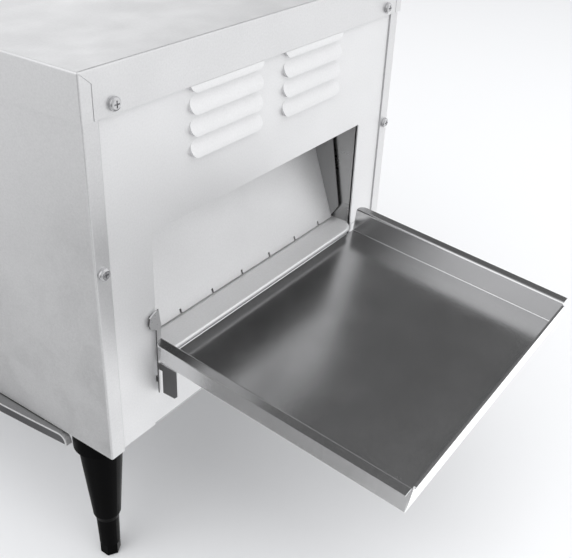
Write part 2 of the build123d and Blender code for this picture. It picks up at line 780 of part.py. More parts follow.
front_liner = chamber_liner(LINER_Y0, LINER_Y0 - LINER_FLANGE)
shaft_hole = rod_y(DRIVE_X, SHAFT_Z, BUSH_FLANGE_R + FIT, LINER_Y0 - FIT, LINER_Y0 + LINER_SHEET + FIT)
save("chamber_front_liner", front_liner - shaft_hole)
save("chamber_rear_liner", chamber_liner(LINER_Y1, LINER_Y1 + LINER_SHEET + LINER_FLANGE))

roof = block(LINER_X0, LINER_X1, LINER_Y0, LINER_Y1 + LINER_SHEET, ROOF_Z, ROOF_Z + LINER_SHEET)
save("chamber_roof", roof)

blanket = block(
    LINER_X0 + BLANKET_R,
    LINER_X1 - BLANKET_R,
    LINER_Y0,
    LINER_Y1,
    ROOF_Z + LINER_SHEET,
    BLANKET_TOP,
)
blanket = fillet(blanket.edges().group_by(Axis.Z)[-1], BLANKET_R)
save("insulation_blanket", blanket)

reflector_points = (
    (REFLECTOR_X0, REFLECTOR_Z - REFLECTOR_DROP),
    (REFLECTOR_X0 + REFLECTOR_SLOPE, REFLECTOR_Z),
    (REFLECTOR_X1 - REFLECTOR_SLOPE, REFLECTOR_Z),
    (REFLECTOR_X1, REFLECTOR_Z - REFLECTOR_DROP),
    (REFLECTOR_X1 + SHEET, REFLECTOR_Z - REFLECTOR_DROP),
    (REFLECTOR_X1 - REFLECTOR_SLOPE + SHEET, REFLECTOR_Z + SHEET),
    (REFLECTOR_X0 + REFLECTOR_SLOPE - SHEET, REFLECTOR_Z + SHEET),
    (REFLECTOR_X0 - SHEET, REFLECTOR_Z - REFLECTOR_DROP),
)
reflector = side_plate(reflector_points, REFLECTOR_Y0, REFLECTOR_Y1)
for x_post in (REFLECTOR_X0 + 2 * REFLECTOR_SLOPE, REFLECTOR_X1 - 2 * REFLECTOR_SLOPE):
    for y_post in (REFLECTOR_Y0 + REFLECTOR_SLOPE, REFLECTOR_Y1 - REFLECTOR_SLOPE):
        reflector += rod_z(x_post, y_post, SHANK_R, REFLECTOR_Z, ROOF_Z)
save("upper_reflector", reflector)


def slide_x(z):
    """x of the chute slide's front surface at a height."""
    return SLIDE_FOOT_X - (z - SLIDE_FOOT_Z) / SLIDE_RISE


# ---------------------------------------------------------------- discharge chute
SLIDE_TOP_X = slide_x(SLIDE_TOP_Z)
SLIDE_LOW_Z = SLIDE_FOOT_Z + SLIDE_LIFT
SLIDE_LOW_X = slide_x(SLIDE_LOW_Z)
slide_points = (
    (SLIDE_LOW_X, SLIDE_LOW_Z),
    (SLIDE_TOP_X, SLIDE_TOP_Z),
    (SLIDE_TOP_X - SLIDE_T, SLIDE_TOP_Z),
    (SLIDE_LOW_X - SLIDE_T, SLIDE_LOW_Z),
)
slide = side_plate(slide_points, SLIDE_Y0, SLIDE_Y1)
for count in range(NOTCH_COUNT):
    y_notch = NOTCH_Y0 + count * NOTCH_PITCH
    slide -= block(
        SLIDE_FOOT_X - NOTCH_H * 2,
        SLIDE_FOOT_X + NOTCH_H,
        y_notch - NOTCH_W / 2,
        y_notch + NOTCH_W / 2,
        SLIDE_LOW_Z - FIT,
        SLIDE_LOW_Z + NOTCH_H,
    )
save("chute_slide", slide)

gusset_points = (
    (slide_x(NOSE_TOP) - SLIDE_T, NOSE_TOP),
    (slide_x(NOSE_TOP) + GUSSET_T, NOSE_TOP),
    (GUSSET_FOOT_X, GUSSET_FOOT_Z),
    (GUSSET_MID_X, GUSSET_MID_Z),
    (GUSSET_TOP_X, SLIDE_TOP_Z),
    (SLIDE_TOP_X - SLIDE_T, SLIDE_TOP_Z),
)
gussets = []
for y_gusset in (SLIDE_Y0 - GUSSET_T, SLIDE_Y1):
    gussets.append(side_plate(gusset_points, y_gusset, y_gusset + GUSSET_T))
for y_lug, y_wall in ((SLIDE_Y0 - GUSSET_T, LINER_Y0 + LINER_SHEET), (SLIDE_Y1 + GUSSET_T, LINER_Y1)):
    lug = block(SLIDE_TOP_X - SLIDE_T, SLIDE_TOP_X, y_lug, y_wall, SLIDE_TOP_Z - GUSSET_LUG, SLIDE_TOP_Z)
    gussets[0 if y_wall < y_lug else 1] += lug
save("chute_gussets", group(gussets))


def nose_plan():
    """Outline of the nose bar seen from above, rounded at its outer corners."""
    edges = []
    far = NOSE_Y1 - NOSE_CORNER_R
    near = NOSE_Y0 + NOSE_NEAR_R
    far_mid = NOSE_CORNER_R * (1 - math.sqrt(0.5))
    near_mid = NOSE_NEAR_R * (1 - math.sqrt(0.5))
    edges.append(Line((NOSE_X0, NOSE_Y0), (NOSE_X1 - NOSE_NEAR_R, NOSE_Y0)))
    edges.append(
        ThreePointArc(
            (NOSE_X1 - NOSE_NEAR_R, NOSE_Y0),
            (NOSE_X1 - near_mid, NOSE_Y0 + near_mid),
            (NOSE_X1, near),
        )
    )
    edges.append(Line((NOSE_X1, near), (NOSE_X1, far)))
    edges.append(
        ThreePointArc(
            (NOSE_X1, far),
            (NOSE_X1 - far_mid, NOSE_Y1 - far_mid),
            (NOSE_X1 - NOSE_CORNER_R, NOSE_Y1),
        )
    )
    edges.append(Line((NOSE_X1 - NOSE_CORNER_R, NOSE_Y1), (NOSE_X0, NOSE_Y1)))
    edges.append(Line((NOSE_X0, NOSE_Y1), (NOSE_X0, NOSE_Y0)))
    return make_face(Wire(edges))


nose_low = NOSE_TOP - NOSE_T
nose = flat_plate(nose_plan(), nose_low, NOSE_TOP)
rims = nose.edges().group_by(Axis.Z)[-1] + nose.edges().group_by(Axis.Z)[0]
nose = fillet(rims.filter_by(lambda e: e.center().X > NOSE_X0 + FIT), NOSE_EDGE_R)
ledge = block(LEDGE_X0, LEDGE_X1, LINER_Y0 + LINER_SHEET, LINER_Y1, nose_low - LEDGE_T, nose_low)
for y_drop in (LINER_Y0 + LINER_SHEET, LINER_Y1 - LEDGE_T):
    ledge += block(
        LEDGE_DROP_X0,
        LEDGE_X1,
        y_drop,
        y_drop + LEDGE_T,
        nose_low - LEDGE_DROP,
        nose_low,
    )
save("chute_nose", nose + ledge)

# ---------------------------------------------------------------- catch tray
TRAY_PLACE = Pos(TRAY_X, 0, TRAY_Z) * Rot(0, TRAY_TILT, 0)
WALL_IN = TRAY_Y0 + TRAY_T
FLANGE_OUT = TRAY_Y0 - TRAY_FLANGE
FAR_IN = TRAY_Y1 - TRAY_T
FAR_OUT = TRAY_Y1 + TRAY_FLANGE
tray_section = make_face(
    Polyline(
        (FLANGE_OUT, TRAY_WALL),
        (WALL_IN, TRAY_WALL),
        (WALL_IN, 0),
        (FAR_IN, 0),
        (FAR_IN, TRAY_WALL),
        (FAR_OUT, TRAY_WALL),
        (FAR_OUT, TRAY_WALL - TRAY_T),
        (TRAY_Y1, TRAY_WALL - TRAY_T),
        (TRAY_Y1, -TRAY_T),
        (TRAY_Y0, -TRAY_T),
        (TRAY_Y0, TRAY_WALL - TRAY_T),
        (FLANGE_OUT, TRAY_WALL - TRAY_T),
        close=True,
    )
)


def section_corners(y_list, z):
    """Corners of the tray section at these widths and this height."""
    level = tray_section.vertices().filter_by(lambda v: abs(v.Y - z) < FIT)
    return level.filter_by(lambda v: any(abs(v.X - y) < FIT for y in y_list))


outer_folds = section_corners((WALL_IN, FAR_IN), TRAY_WALL) + section_corners((TRAY_Y0, TRAY_Y1), -TRAY_T)
tray_section = fillet(outer_folds, TRAY_FOLD_R + TRAY_T)
inner_folds = section_corners((WALL_IN, FAR_IN), 0)
inner_folds += section_corners((TRAY_Y0, TRAY_Y1), TRAY_WALL - TRAY_T)
tray_section = fillet(inner_folds, TRAY_FOLD_R)
SECTION_PLANE = Plane(origin=(0, 0, 0), x_dir=(0, 1, 0), z_dir=(1, 0, 0))
tray = extrude(SECTION_PLANE * tray_section, amount=TRAY_LEN, dir=(1, 0, 0))
rear_edges = tray.edges().filter_by(Axis.Z).group_by(Axis.X)[0]
rear_corners = rear_edges.filter_by(lambda e: e.center().Z > TRAY_FLANGE)
outermost = rear_corners.sort_by(Axis.Y)
tray = fillet([outermost[0], outermost[-1]], TRAY_FLANGE_R)
lip_points = (
    (TRAY_Y0 + TRAY_LIP_INSET, -TRAY_T),
    (TRAY_Y1 - TRAY_LIP_INSET, -TRAY_T),
    (TRAY_Y1 - TRAY_LIP_INSET, TRAY_LIP_H - TRAY_LIP_CHAMFER),
    (TRAY_Y1 - TRAY_LIP_INSET - TRAY_LIP_CHAMFER, TRAY_LIP_H),
    (TRAY_Y0 + TRAY_LIP_INSET + TRAY_LIP_CHAMFER, TRAY_LIP_H),
    (TRAY_Y0 + TRAY_LIP_INSET, TRAY_LIP_H - TRAY_LIP_CHAMFER),
)
front_lip = end_plate(lip_points, 0, TRAY_T)
front_lip += block(
    0,
    TRAY_HEM,
    TRAY_Y0 + TRAY_LIP_INSET + TRAY_LIP_CHAMFER,
    TRAY_Y1 - TRAY_LIP_INSET - TRAY_LIP_CHAMFER,
    TRAY_LIP_H - TRAY_HEM,
    TRAY_LIP_H,
)
tray += Pos(TRAY_LEN - TRAY_T, 0, 0) * Rot(0, TRAY_LIP_LEAN, 0) * front_lip
save("catch_tray", TRAY_PLACE * tray)


def hanger_leg():
    """Leg plate of a hanger below the front edge of the tray."""
    leg_points = (
        (HANGER_LEG_X0, HANGER_LEG_Z),
        (HANGER_LEG_X1 - HANGER_CORNER, HANGER_LEG_Z),
        (HANGER_LEG_X1, HANGER_LEG_Z + HANGER_CORNER),
        (HANGER_LEG_X1, HANGER_WEB_Z1),
        (HANGER_X0, HANGER_WEB_Z1 + HANGER_T),
        (HANGER_X0, HANGER_WEB_Z0),
        (HANGER_LEG_X0, HANGER_WEB_Z0),
    )
    return side_plate(leg_points, TRAY_Y0 + TRAY_T, TRAY_Y0 + TRAY_T + HANGER_T)


def neck(z_top):
    """Upright strip of a hanger lying against the end panel."""
    return block(HANGER_X0, HANGER_X0 + HANGER_T, NECK_Y0, NECK_Y1, NECK_Z0, z_top)


def tongue(y, z):
    """Small tongue that hooks into a slot of the end panel."""
    return block(HANGER_X0 - TONGUE_IN, HANGER_X0 + HANGER_T, y, y + HANGER_T, z, z + TONGUE_H)


ear = (
    (NECK_Y0, EAR_Z0),
    (NECK_Y1, EAR_Z0),
    (EAR_Y_IN, EAR_Z0 + HANGER_T),
    (NECK_Y1 - HANGER_T, EAR_Z1),
    (NECK_Y0 - HANGER_T, EAR_Z1 - HANGER_T),
    (EAR_Y_OUT + HANGER_T, EAR_Z1 - HANGER_T * 3),
    (EAR_Y_OUT, EAR_Z0 + HANGER_T * 6),
    (EAR_Y_OUT + HANGER_T, EAR_Z0 + HANGER_T * 3),
)
hanger_front = hanger_leg() + neck(EAR_Z0 + HANGER_T) + end_plate(ear, HANGER_X0, HANGER_X0 + HANGER_T)
hanger_front += tongue(TONGUE_Y_LOW, TONGUE_LOW_Z)
hanger_front += tongue(TONGUE_Y_HIGH, TONGUE_HIGH_Z)
save("tray_hanger_front", hanger_front)

hanger_rear = hanger_leg() + neck(REAR_NECK_TOP) + tongue(TONGUE_Y_LOW, TONGUE_LOW_Z)
hanger_rear += block(HANGER_X0, HANGER_X0 + HANGER_T, REAR_TAB_Y0, REAR_TAB_Y1, REAR_TAB_Z0, REAR_TAB_Z1)
save("tray_hanger_rear", Pos(0, BODY_W, 0) * mirror(hanger_rear, about=Plane.XZ))


# ---------------------------------------------------------------- conveyor
def rail_outline():
    """Conveyor rail seen from the side, rounded at the infeed end."""
    edges = [
        Line((RAIL_X_EXIT, RAIL_Z0), (RAIL_X_EXIT, RAIL_Z1)),
        Line((RAIL_X_EXIT, RAIL_Z1), (RAIL_X_INFEED + RAIL_END_R, RAIL_Z1)),
        ThreePointArc(
            (RAIL_X_INFEED + RAIL_END_R, RAIL_Z1),
            (
                RAIL_X_INFEED + RAIL_END_R * (1 - math.sqrt(0.5)),
                RAIL_Z1 - RAIL_END_R * (1 - math.sqrt(0.5)),
            ),
            (RAIL_X_INFEED, RAIL_Z1 - RAIL_END_R),
        ),
        Line((RAIL_X_INFEED, RAIL_Z1 - RAIL_END_R), (RAIL_X_INFEED, RAIL_Z0 + RAIL_END_R)),
        ThreePointArc(
            (RAIL_X_INFEED, RAIL_Z0 + RAIL_END_R),
            (
                RAIL_X_INFEED + RAIL_END_R * (1 - math.sqrt(0.5)),
                RAIL_Z0 + RAIL_END_R * (1 - math.sqrt(0.5)),
            ),
            (RAIL_X_INFEED + RAIL_END_R, RAIL_Z0),
        ),
        Line((RAIL_X_INFEED + RAIL_END_R, RAIL_Z0), (RAIL_X_EXIT, RAIL_Z0)),
    ]
    return make_face(Wire(edges))


def conveyor_rail(y0, inward):
    """Side rail with a turned-in bottom lip, bush holes and heater holes."""
    plane = Plane(origin=(0, y0, 0), x_dir=(1, 0, 0), z_dir=(0, -1, 0))
    web = extrude(plane * rail_outline(), amount=RAIL_T, dir=(0, 1, 0))
    y_lip0 = y0 if inward > 0 else y0 + RAIL_T - RAIL_LIP
    rail_top = RAIL_Z0 + RAIL_T
    web += block(RAIL_X_INFEED + RAIL_END_R, RAIL_X_EXIT, y_lip0, y_lip0 + RAIL_LIP, RAIL_Z0, rail_top)
    for x_shaft in (DRIVE_X, IDLER_X):
        web -= rod_y(x_shaft, SHAFT_Z, BUSH_R + FIT / 10, y0 - FIT, y0 + RAIL_T + FIT)
    for x_heater in LOWER_HEATER_X:
        web -= rod_y(x_heater, LOWER_HEATER_Z, HEATER_HOLE_R, y0 - FIT, y0 + RAIL_T + FIT)
    return web


save("conveyor_rail_front", conveyor_rail(RAIL_Y_FRONT, 1))
save("conveyor_rail_rear", conveyor_rail(RAIL_Y_REAR, -1))


def bushing(x, y_seat, outward):
    """Flanged bush pressed into a rail, flange on the belt side."""
    y_tail = y_seat + outward * (RAIL_T + FIT)
    y_flange = y_seat - outward * BUSH_FLANGE_T
    bush = rod_y(x, SHAFT_Z, BUSH_R, y_seat, y_tail)
    bush += rod_y(x, SHAFT_Z, BUSH_FLANGE_R, y_flange, y_seat)
    return bush - rod_y(x, SHAFT_Z, BUSH_BORE, 0, BODY_W)


bushes = []
for x_shaft in (DRIVE_X, IDLER_X):
    bushes.append(bushing(x_shaft, RAIL_Y_FRONT + RAIL_T, -1))
    bushes.append(bushing(x_shaft, RAIL_Y_REAR, 1))
save("shaft_bushings", group(bushes))

save("drive_shaft", rod_y(DRIVE_X, SHAFT_Z, SHAFT_R, DRIVE_Y0, SHAFT_Y1))
save("idler_shaft", rod_y(IDLER_X, SHAFT_Z, SHAFT_R, IDLER_Y0, SHAFT_Y1))


def tooth_wheel(x, z, y_mid, width, root, tip, teeth):
    """Toothed disc turning about y."""
    wheel = rod_y(x, z, root, y_mid - width / 2, y_mid + width / 2)
    half = math.pi * root / teeth / 2
    for count in range(teeth):
        angle = 360.0 * count / teeth
        tooth = Pos(x, y_mid, z) * Rot(0, angle, 0) * Pos((root + tip) / 2 - FIT, 0, 0)
        wheel += tooth * Box(tip - root + 2 * FIT, width, half)
    return wheel


def belt_sprockets(x):
    """Five belt sprockets with hubs on one shaft."""
    wheels = []
    for y_mid in SPROCKET_Y:
        wheel = tooth_wheel(x, SHAFT_Z, y_mid, SPROCKET_W, SPROCKET_ROOT, SPROCKET_TIP, SPROCKET_TEETH)
        wheel += rod_y(x, SHAFT_Z, SPROCKET_HUB_R, y_mid - SPROCKET_HUB_W / 2, y_mid + SPROCKET_HUB_W / 2)
        wheel -= rod_y(x, SHAFT_Z, SHAFT_BORE, 0, BODY_W)
        wheels.append(wheel)
    return group(wheels)


save("drive_sprockets", belt_sprockets(DRIVE_X))
save("idler_sprockets", belt_sprockets(IDLER_X))


def loop_face(radius):
    """Round-ended loop outline about both shafts."""
    top = SHAFT_Z + radius
    low = SHAFT_Z - radius
    edges = [
        Line((DRIVE_X, top), (IDLER_X, top)),
        ThreePointArc((IDLER_X, top), (IDLER_X - radius, SHAFT_Z), (IDLER_X, low)),
        Line((IDLER_X, low), (DRIVE_X, low)),
        ThreePointArc((DRIVE_X, low), (DRIVE_X + radius, SHAFT_Z), (DRIVE_X, top)),
    ]
    return make_face(Wire(edges))


def link_loop(y_mid):
    """One lengthwise link row of the belt, inside the cross wires."""
    radius = BELT_R + LINK_T / 2
    plane = Plane(origin=(0, y_mid - LINK_W / 2, 0), x_dir=(1, 0, 0), z_dir=(0, -1, 0))
    outer = extrude(plane * loop_face(radius), amount=LINK_W, dir=(0, 1, 0))
    inner = extrude(plane * loop_face(radius - LINK_T), amount=LINK_W, dir=(0, 1, 0))
    return outer - inner


def along_loop(distance, radius):
    """Point on the belt loop at a distance from the drive end of the top run."""
    straight = DRIVE_X - IDLER_X
    bend = math.pi * radius
    if distance < straight:
        return DRIVE_X - distance, SHAFT_Z + radius
    distance -= straight
    if distance < bend:
        angle = math.pi / 2 + distance / radius
        return IDLER_X + radius * math.cos(angle), SHAFT_Z + radius * math.sin(angle)
    distance -= bend
    if distance < straight:
        return IDLER_X + distance, SHAFT_Z - radius
    angle = -math.pi / 2 + (distance - straight) / radius
    return DRIVE_X + radius * math.cos(angle), SHAFT_Z + radius * math.sin(angle)


belt = []
LINK_PITCH = (BELT_Y1 - BELT_Y0 - LINK_W) / (LINK_COUNT - 1)
for count in range(LINK_COUNT):
    belt.append(link_loop(BELT_Y0 + LINK_W / 2 + count * LINK_PITCH))
WIRE_LOOP = BELT_R + LINK_T / 2 + WIRE_R
LOOP_LEN = 2 * (DRIVE_X - IDLER_X) + 2 * math.pi * WIRE_LOOP
for count in range(BELT_LINKS):
    x_wire, z_wire = along_loop(LOOP_LEN * count / BELT_LINKS, WIRE_LOOP)
    belt.append(rod_y(x_wire, z_wire, WIRE_R, BELT_Y0, BELT_Y1))
save("conveyor_belt", group(belt))

sliders = []
for x_bar in SLIDER_X:
    sliders.append(rod_y(x_bar, SLIDER_Z, SLIDER_R, RAIL_Y_FRONT + RAIL_T, RAIL_Y_REAR))
save("belt_support_bars", group(sliders))


# ---------------------------------------------------------------- heaters
def heater_row(x_list, z):
    """Straight heater tubes across the chamber."""
    tubes = []
    for x_heater in x_list:
        y0 = LINER_Y0 - HEATER_OUT
        y1 = LINER_Y1 + LINER_SHEET + HEATER_OUT
        tubes.append(rod_y(x_heater, z, HEATER_R, y0, y1))
    return tubes


save("upper_heaters", group(heater_row(UPPER_HEATER_X, UPPER_HEATER_Z)))
save("lower_heaters", group(heater_row(LOWER_HEATER_X, LOWER_HEATER_Z)))


def heater_cap(x, z, y_face, outward):
    """Ceramic end cap with a terminal stud."""
    y_end = y_face + outward * CAP_LEN
    cap = rod_y(x, z, CAP_R, y_face, y_end)
    cap -= rod_y(x, z, CAP_BORE, y_face, y_face + outward * HEATER_OUT)
    return cap + rod_y(x, z, CAP_STUD_R, y_end, y_end + outward * CAP_STUD_LEN)


caps = []
for x_list, z_row in ((UPPER_HEATER_X, UPPER_HEATER_Z), (LOWER_HEATER_X, LOWER_HEATER_Z)):
    for x_heater in x_list:
        caps.append(heater_cap(x_heater, z_row, LINER_Y0 - FIT, -1))
        caps.append(heater_cap(x_heater, z_row, LINER_Y1 + LINER_SHEET + FIT, 1))
save("heater_end_caps", group(caps))

# ---------------------------------------------------------------- drive
gearbox = block(
    MOTOR_X - GEARBOX_X / 2,
    MOTOR_X + GEARBOX_X / 2,
    GEARBOX_Y0,
    GEARBOX_Y1,
    MOTOR_Z - GEARBOX_Z / 2,
    MOTOR_Z + GEARBOX_Z / 2,
)
gearbox = fillet(gearbox.edges().filter_by(Axis.Y), GEARBOX_R)
gearbox -= rod_y(MOTOR_X, MOTOR_Z, MOTOR_SHAFT_R + FIT / 4, 0, GEARBOX_Y1 - SHEET)
CAN_X1 = MOTOR_X - GEARBOX_X / 2
can_z = MOTOR_Z - MOTOR_CAN_DROP
can = rod_x(MOTOR_CAN_Y, can_z, MOTOR_CAN_R, CAN_X1 - MOTOR_CAN_LEN, CAN_X1)
can = fillet(can.edges().group_by(Axis.X)[0], SLIDER_R)
gearmotor = gearbox + can
save("gearmotor", gearmotor)

motor_bracket = block(
    MOTOR_X - GEARBOX_X / 2 - LINER_FLANGE,
    MOTOR_X + GEARBOX_X / 2 + LINER_FLANGE,
    BRACKET_Y0,
    BRACKET_Y0 + BRACKET_T,
    MOTOR_Z - GEARBOX_Z / 2 - LINER_FLANGE,
    MOTOR_Z + GEARBOX_Z / 2 + LINER_FLANGE,
)
motor_bracket += block(
    MOTOR_X - GEARBOX_X / 2 - LINER_FLANGE,
    MOTOR_X + GEARBOX_X / 2 + LINER_FLANGE,
    BRACKET_Y0,
    LINER_Y0,
    MOTOR_Z + GEARBOX_Z / 2 + LINER_FLANGE - BRACKET_T,
    MOTOR_Z + GEARBOX_Z / 2 + LINER_FLANGE,
)
save("motor_bracket", motor_bracket)

motor_wheel = tooth_wheel(
    MOTOR_X,
    MOTOR_Z,
    CHAIN_Y,
    CHAIN_PLATE_W,
    CHAIN_ROOT_MOTOR,
    CHAIN_ROOT_MOTOR + CHAIN_TOOTH,
    CHAIN_TEETH_MOTOR,
)
motor_wheel += rod_y(MOTOR_X, MOTOR_Z, MOTOR_SHAFT_R, MOTOR_SHAFT_Y0, GEARBOX_Y1 - 2 * SHEET)
save("motor_sprocket", motor_wheel)

drive_wheel = tooth_wheel(
    DRIVE_X,
    SHAFT_Z,
    CHAIN_Y,
    CHAIN_PLATE_W,
    CHAIN_ROOT_DRIVE,
    CHAIN_ROOT_DRIVE + CHAIN_TOOTH,
    CHAIN_TEETH_DRIVE,
)
drive_wheel += rod_y(DRIVE_X, SHAFT_Z, SPROCKET_HUB_R, CHAIN_Y, CHAIN_Y + SPROCKET_HUB_W)
drive_wheel -= rod_y(DRIVE_X, SHAFT_Z, SHAFT_BORE, 0, BODY_W)
save("chain_sprocket", drive_wheel)


def chain_hull(grow):
    """Outline of the chain run round both chain sprockets."""
    big = Pos(DRIVE_X, SHAFT_Z) * Circle(CHAIN_ROOT_DRIVE + grow)
    small = Pos(MOTOR_X, MOTOR_Z) * Circle(CHAIN_ROOT_MOTOR + grow)
    return make_hull(big.edges() + small.edges())


chain_plane = Plane(origin=(0, CHAIN_Y - CHAIN_W / 2, 0), x_dir=(1, 0, 0), z_dir=(0, -1, 0))
chain_base = CHAIN_TOOTH + CHAIN_GAP / 4
chain = extrude(chain_plane * chain_hull(chain_base + CHAIN_THICK), amount=CHAIN_W, dir=(0, 1, 0))
chain -= extrude(chain_plane * chain_hull(chain_base), amount=CHAIN_W, dir=(0, 1, 0))
save("drive_chain", chain)

# ---------------------------------------------------------------- cooling fan
FAN_Y1 = BODY_W - SHEET
FAN_Y0 = FAN_Y1 - FAN_DEPTH
fan_frame = block(
    FAN_X - FAN_SIZE / 2,
    FAN_X + FAN_SIZE / 2,
    FAN_Y0,
    FAN_Y1,
    FAN_Z - FAN_SIZE / 2,
    FAN_Z + FAN_SIZE / 2,
)
fan_frame = fillet(fan_frame.edges().filter_by(Axis.Y), FAN_CORNER_R)
fan_frame -= rod_y(FAN_X, FAN_Z, FAN_BORE_R, FAN_Y0 - FIT, FAN_Y1 + FIT)
for turn in FAN_ARM_ANGLES:
    arm = Pos(FAN_X, FAN_Y0 + FAN_ARM_W / 2, FAN_Z) * Rot(0, turn, 0)
    fan_frame += arm * Box(2 * FAN_BORE_R + FAN_ARM_W, FAN_ARM_W, FAN_ARM_W)
fan_frame += rod_y(FAN_X, FAN_Z, FAN_HUB_R - FIT, FAN_Y0, FAN_Y0 + FAN_ARM_W)
fan_frame += rod_y(FAN_X, FAN_Z, FAN_PIN_R, FAN_Y0, FAN_Y1 - FAN_ARM_W)
for x_screw, z_screw in FAN_SCREWS:
    fan_frame -= rod_y(x_screw, z_screw, SMALL_CLEAR_R, FAN_Y0 - FIT, FAN_Y1 + FIT)
save("fan_frame", fan_frame)

ROTOR_Y0 = FAN_Y0 + FAN_ARM_W + 2 * FIT
ROTOR_Y1 = FAN_Y1 - FAN_ARM_W / 2
rotor = rod_y(FAN_X, FAN_Z, FAN_HUB_R, ROTOR_Y0, ROTOR_Y1)
BLADE_MID_R = (FAN_HUB_R + FAN_BLADE_R) / 2
for count in range(FAN_BLADES):
    spin = Pos(FAN_X, (ROTOR_Y0 + ROTOR_Y1) / 2, FAN_Z) * Rot(0, 360.0 * count / FAN_BLADES, 0)
    blade = Box(FAN_BLADE_R - FAN_HUB_R + 2 * SHEET, FAN_BLADE_T, FAN_HUB_R)
    rotor += spin * Pos(BLADE_MID_R - SHEET, 0, 0) * Rot(FAN_BLADE_PITCH, 0, 0) * blade
rotor -= rod_y(FAN_X, FAN_Z, FAN_PIN_R + FIT / 6, ROTOR_Y0 - FIT, FAN_Y1 - FAN_ARM_W + FIT)
save("fan_rotor", rotor)

GUARD_Y = BODY_W + GUARD_WIRE + FIT / 3
guard = None
for ring_r in GUARD_RINGS:
    ring = Pos(FAN_X, GUARD_Y, FAN_Z) * Rot(90, 0, 0) * Torus(ring_r, GUARD_WIRE)
    guard = ring if guard is None else guard + ring
for x_screw, z_screw in FAN_SCREWS:
    reach = math.hypot(x_screw - FAN_X, z_screw - FAN_Z)
    angle = math.degrees(math.atan2(FAN_Z - z_screw, x_screw - FAN_X))
    spoke = Pos(FAN_X, GUARD_Y, FAN_Z) * Rot(0, angle, 0)
    inner = GUARD_RINGS[0]
    guard += spoke * Pos((inner + reach) / 2, 0, 0) * Rot(0, 90, 0) * Cylinder(GUARD_WIRE, reach - inner)
    eye = rod_y(x_screw, z_screw, SMALL_HEAD_R + FIT, GUARD_Y - GUARD_WIRE, GUARD_Y + GUARD_WIRE)
    guard += eye
for x_screw, z_screw in FAN_SCREWS:
    guard -= rod_y(x_screw, z_screw, SMALL_CLEAR_R, GUARD_Y - 2 * GUARD_WIRE, GUARD_Y + 2 * GUARD_WIRE)
save("fan_guard", guard)
fan_screws = []
for x_screw, z_screw in FAN_SCREWS:
    fan_screws.append(Pos(x_screw, GUARD_Y + GUARD_WIRE, z_screw) * FACE_REAR * SMALL_SCREW)
save("fan_screws", group(fan_screws))

# ---------------------------------------------------------------- controls
bezel = block(BEZEL_X0, BEZEL_X1, -BEZEL_T, 0, BEZEL_Z0, BEZEL_Z1)
bezel = fillet(bezel.edges().filter_by(Axis.Y), BEZEL_R)
bezel = chamfer(bezel.edges().group_by(Axis.Y)[0], BEZEL_T / 3)
for x_knob in KNOB_X:
    bezel -= rod_y(x_knob, KNOB_Z, KNOB_SHAFT_HOLE, -BEZEL_T - FIT, FIT)
for x_lamp in LAMP_X:
    bezel -= rod_y(x_lamp, LAMP_Z, LAMP_R + FIT, -BEZEL_T - FIT, FIT)
bezel -= rocker_hole
for x_screw, z_screw in BEZEL_SCREWS:
    bezel -= rod_y(x_screw, z_screw, SMALL_CLEAR_R, -BEZEL_T - FIT, FIT)
save("control_bezel", bezel)

bezel_screws = []
for x_screw, z_screw in BEZEL_SCREWS:
    bezel_screws.append(Pos(x_screw, -BEZEL_T, z_screw) * FACE_FRONT * SMALL_SCREW)
save("bezel_screws", group(bezel_screws))


def knob(x):
    """Fluted control knob with a pointer rib, turning about y."""
    y_back = -BEZEL_T - KNOB_GAP
    skirt = rod_y(x, KNOB_Z, KNOB_SKIRT_R, y_back - KNOB_SKIRT_H, y_back)
    skirt = chamfer(skirt.edges().group_by(Axis.Y)[0], KNOB_SKIRT_H / 3)
    grip_face = Circle(KNOB_R)
    for count in range(KNOB_FLUTES):
        angle = 2 * math.pi * (count + HALF_STEP) / KNOB_FLUTES
        grip_face -= Pos(KNOB_R * math.cos(angle), KNOB_R * math.sin(angle)) * Circle(KNOB_FLUTE_R)
    grip_plane = Plane(origin=(x, y_back - KNOB_SKIRT_H / 2, KNOB_Z), x_dir=(1, 0, 0), z_dir=(0, -1, 0))
    grip_body = extrude(grip_plane * grip_face, amount=KNOB_H - SHEET - KNOB_SKIRT_H / 2)
    cap = rod_y(x, KNOB_Z, KNOB_R - KNOB_FLUTE_R - FIT, y_back - KNOB_H, y_back - KNOB_SKIRT_H)
    cap = chamfer(cap.edges().group_by(Axis.Y)[0], SHEET / 2)
    grip_body += cap
    whole = skirt + grip_body
    rib_y = y_back - KNOB_H
    whole += block(x - SHEET, x + SHEET, rib_y - SHEET, rib_y + SHEET, KNOB_Z, KNOB_Z + KNOB_R - 3 * SHEET)
    return whole + rod_y(x, KNOB_Z, KNOB_SHAFT_R, y_back - FIT, DIAL_DEPTH / 2)


KNOB_NAMES = ("heat_knob_upper", "heat_knob_lower", "speed_knob")
for name, x_knob in zip(KNOB_NAMES, KNOB_X):
    save(name, knob(x_knob))
dials = []
for x_knob in KNOB_X:
    body = block(
        x_knob - DIAL_BODY / 2,
        x_knob + DIAL_BODY / 2,
        SHEET,
        SHEET + DIAL_DEPTH,
        KNOB_Z - DIAL_BODY / 2,
        KNOB_Z + DIAL_BODY / 2,
    )
    body = fillet(body.edges().filter_by(Axis.Y), DIAL_R)
    body += rod_y(x_knob, KNOB_Z, DIAL_SLEEVE_R, -BEZEL_T, SHEET)
    body -= rod_y(x_knob, KNOB_Z, KNOB_SHAFT_R + FIT / 6, -BEZEL_T - FIT, DIAL_DEPTH / 2 + FIT)
    dials.append(body)
save("dial_bodies", group(dials))

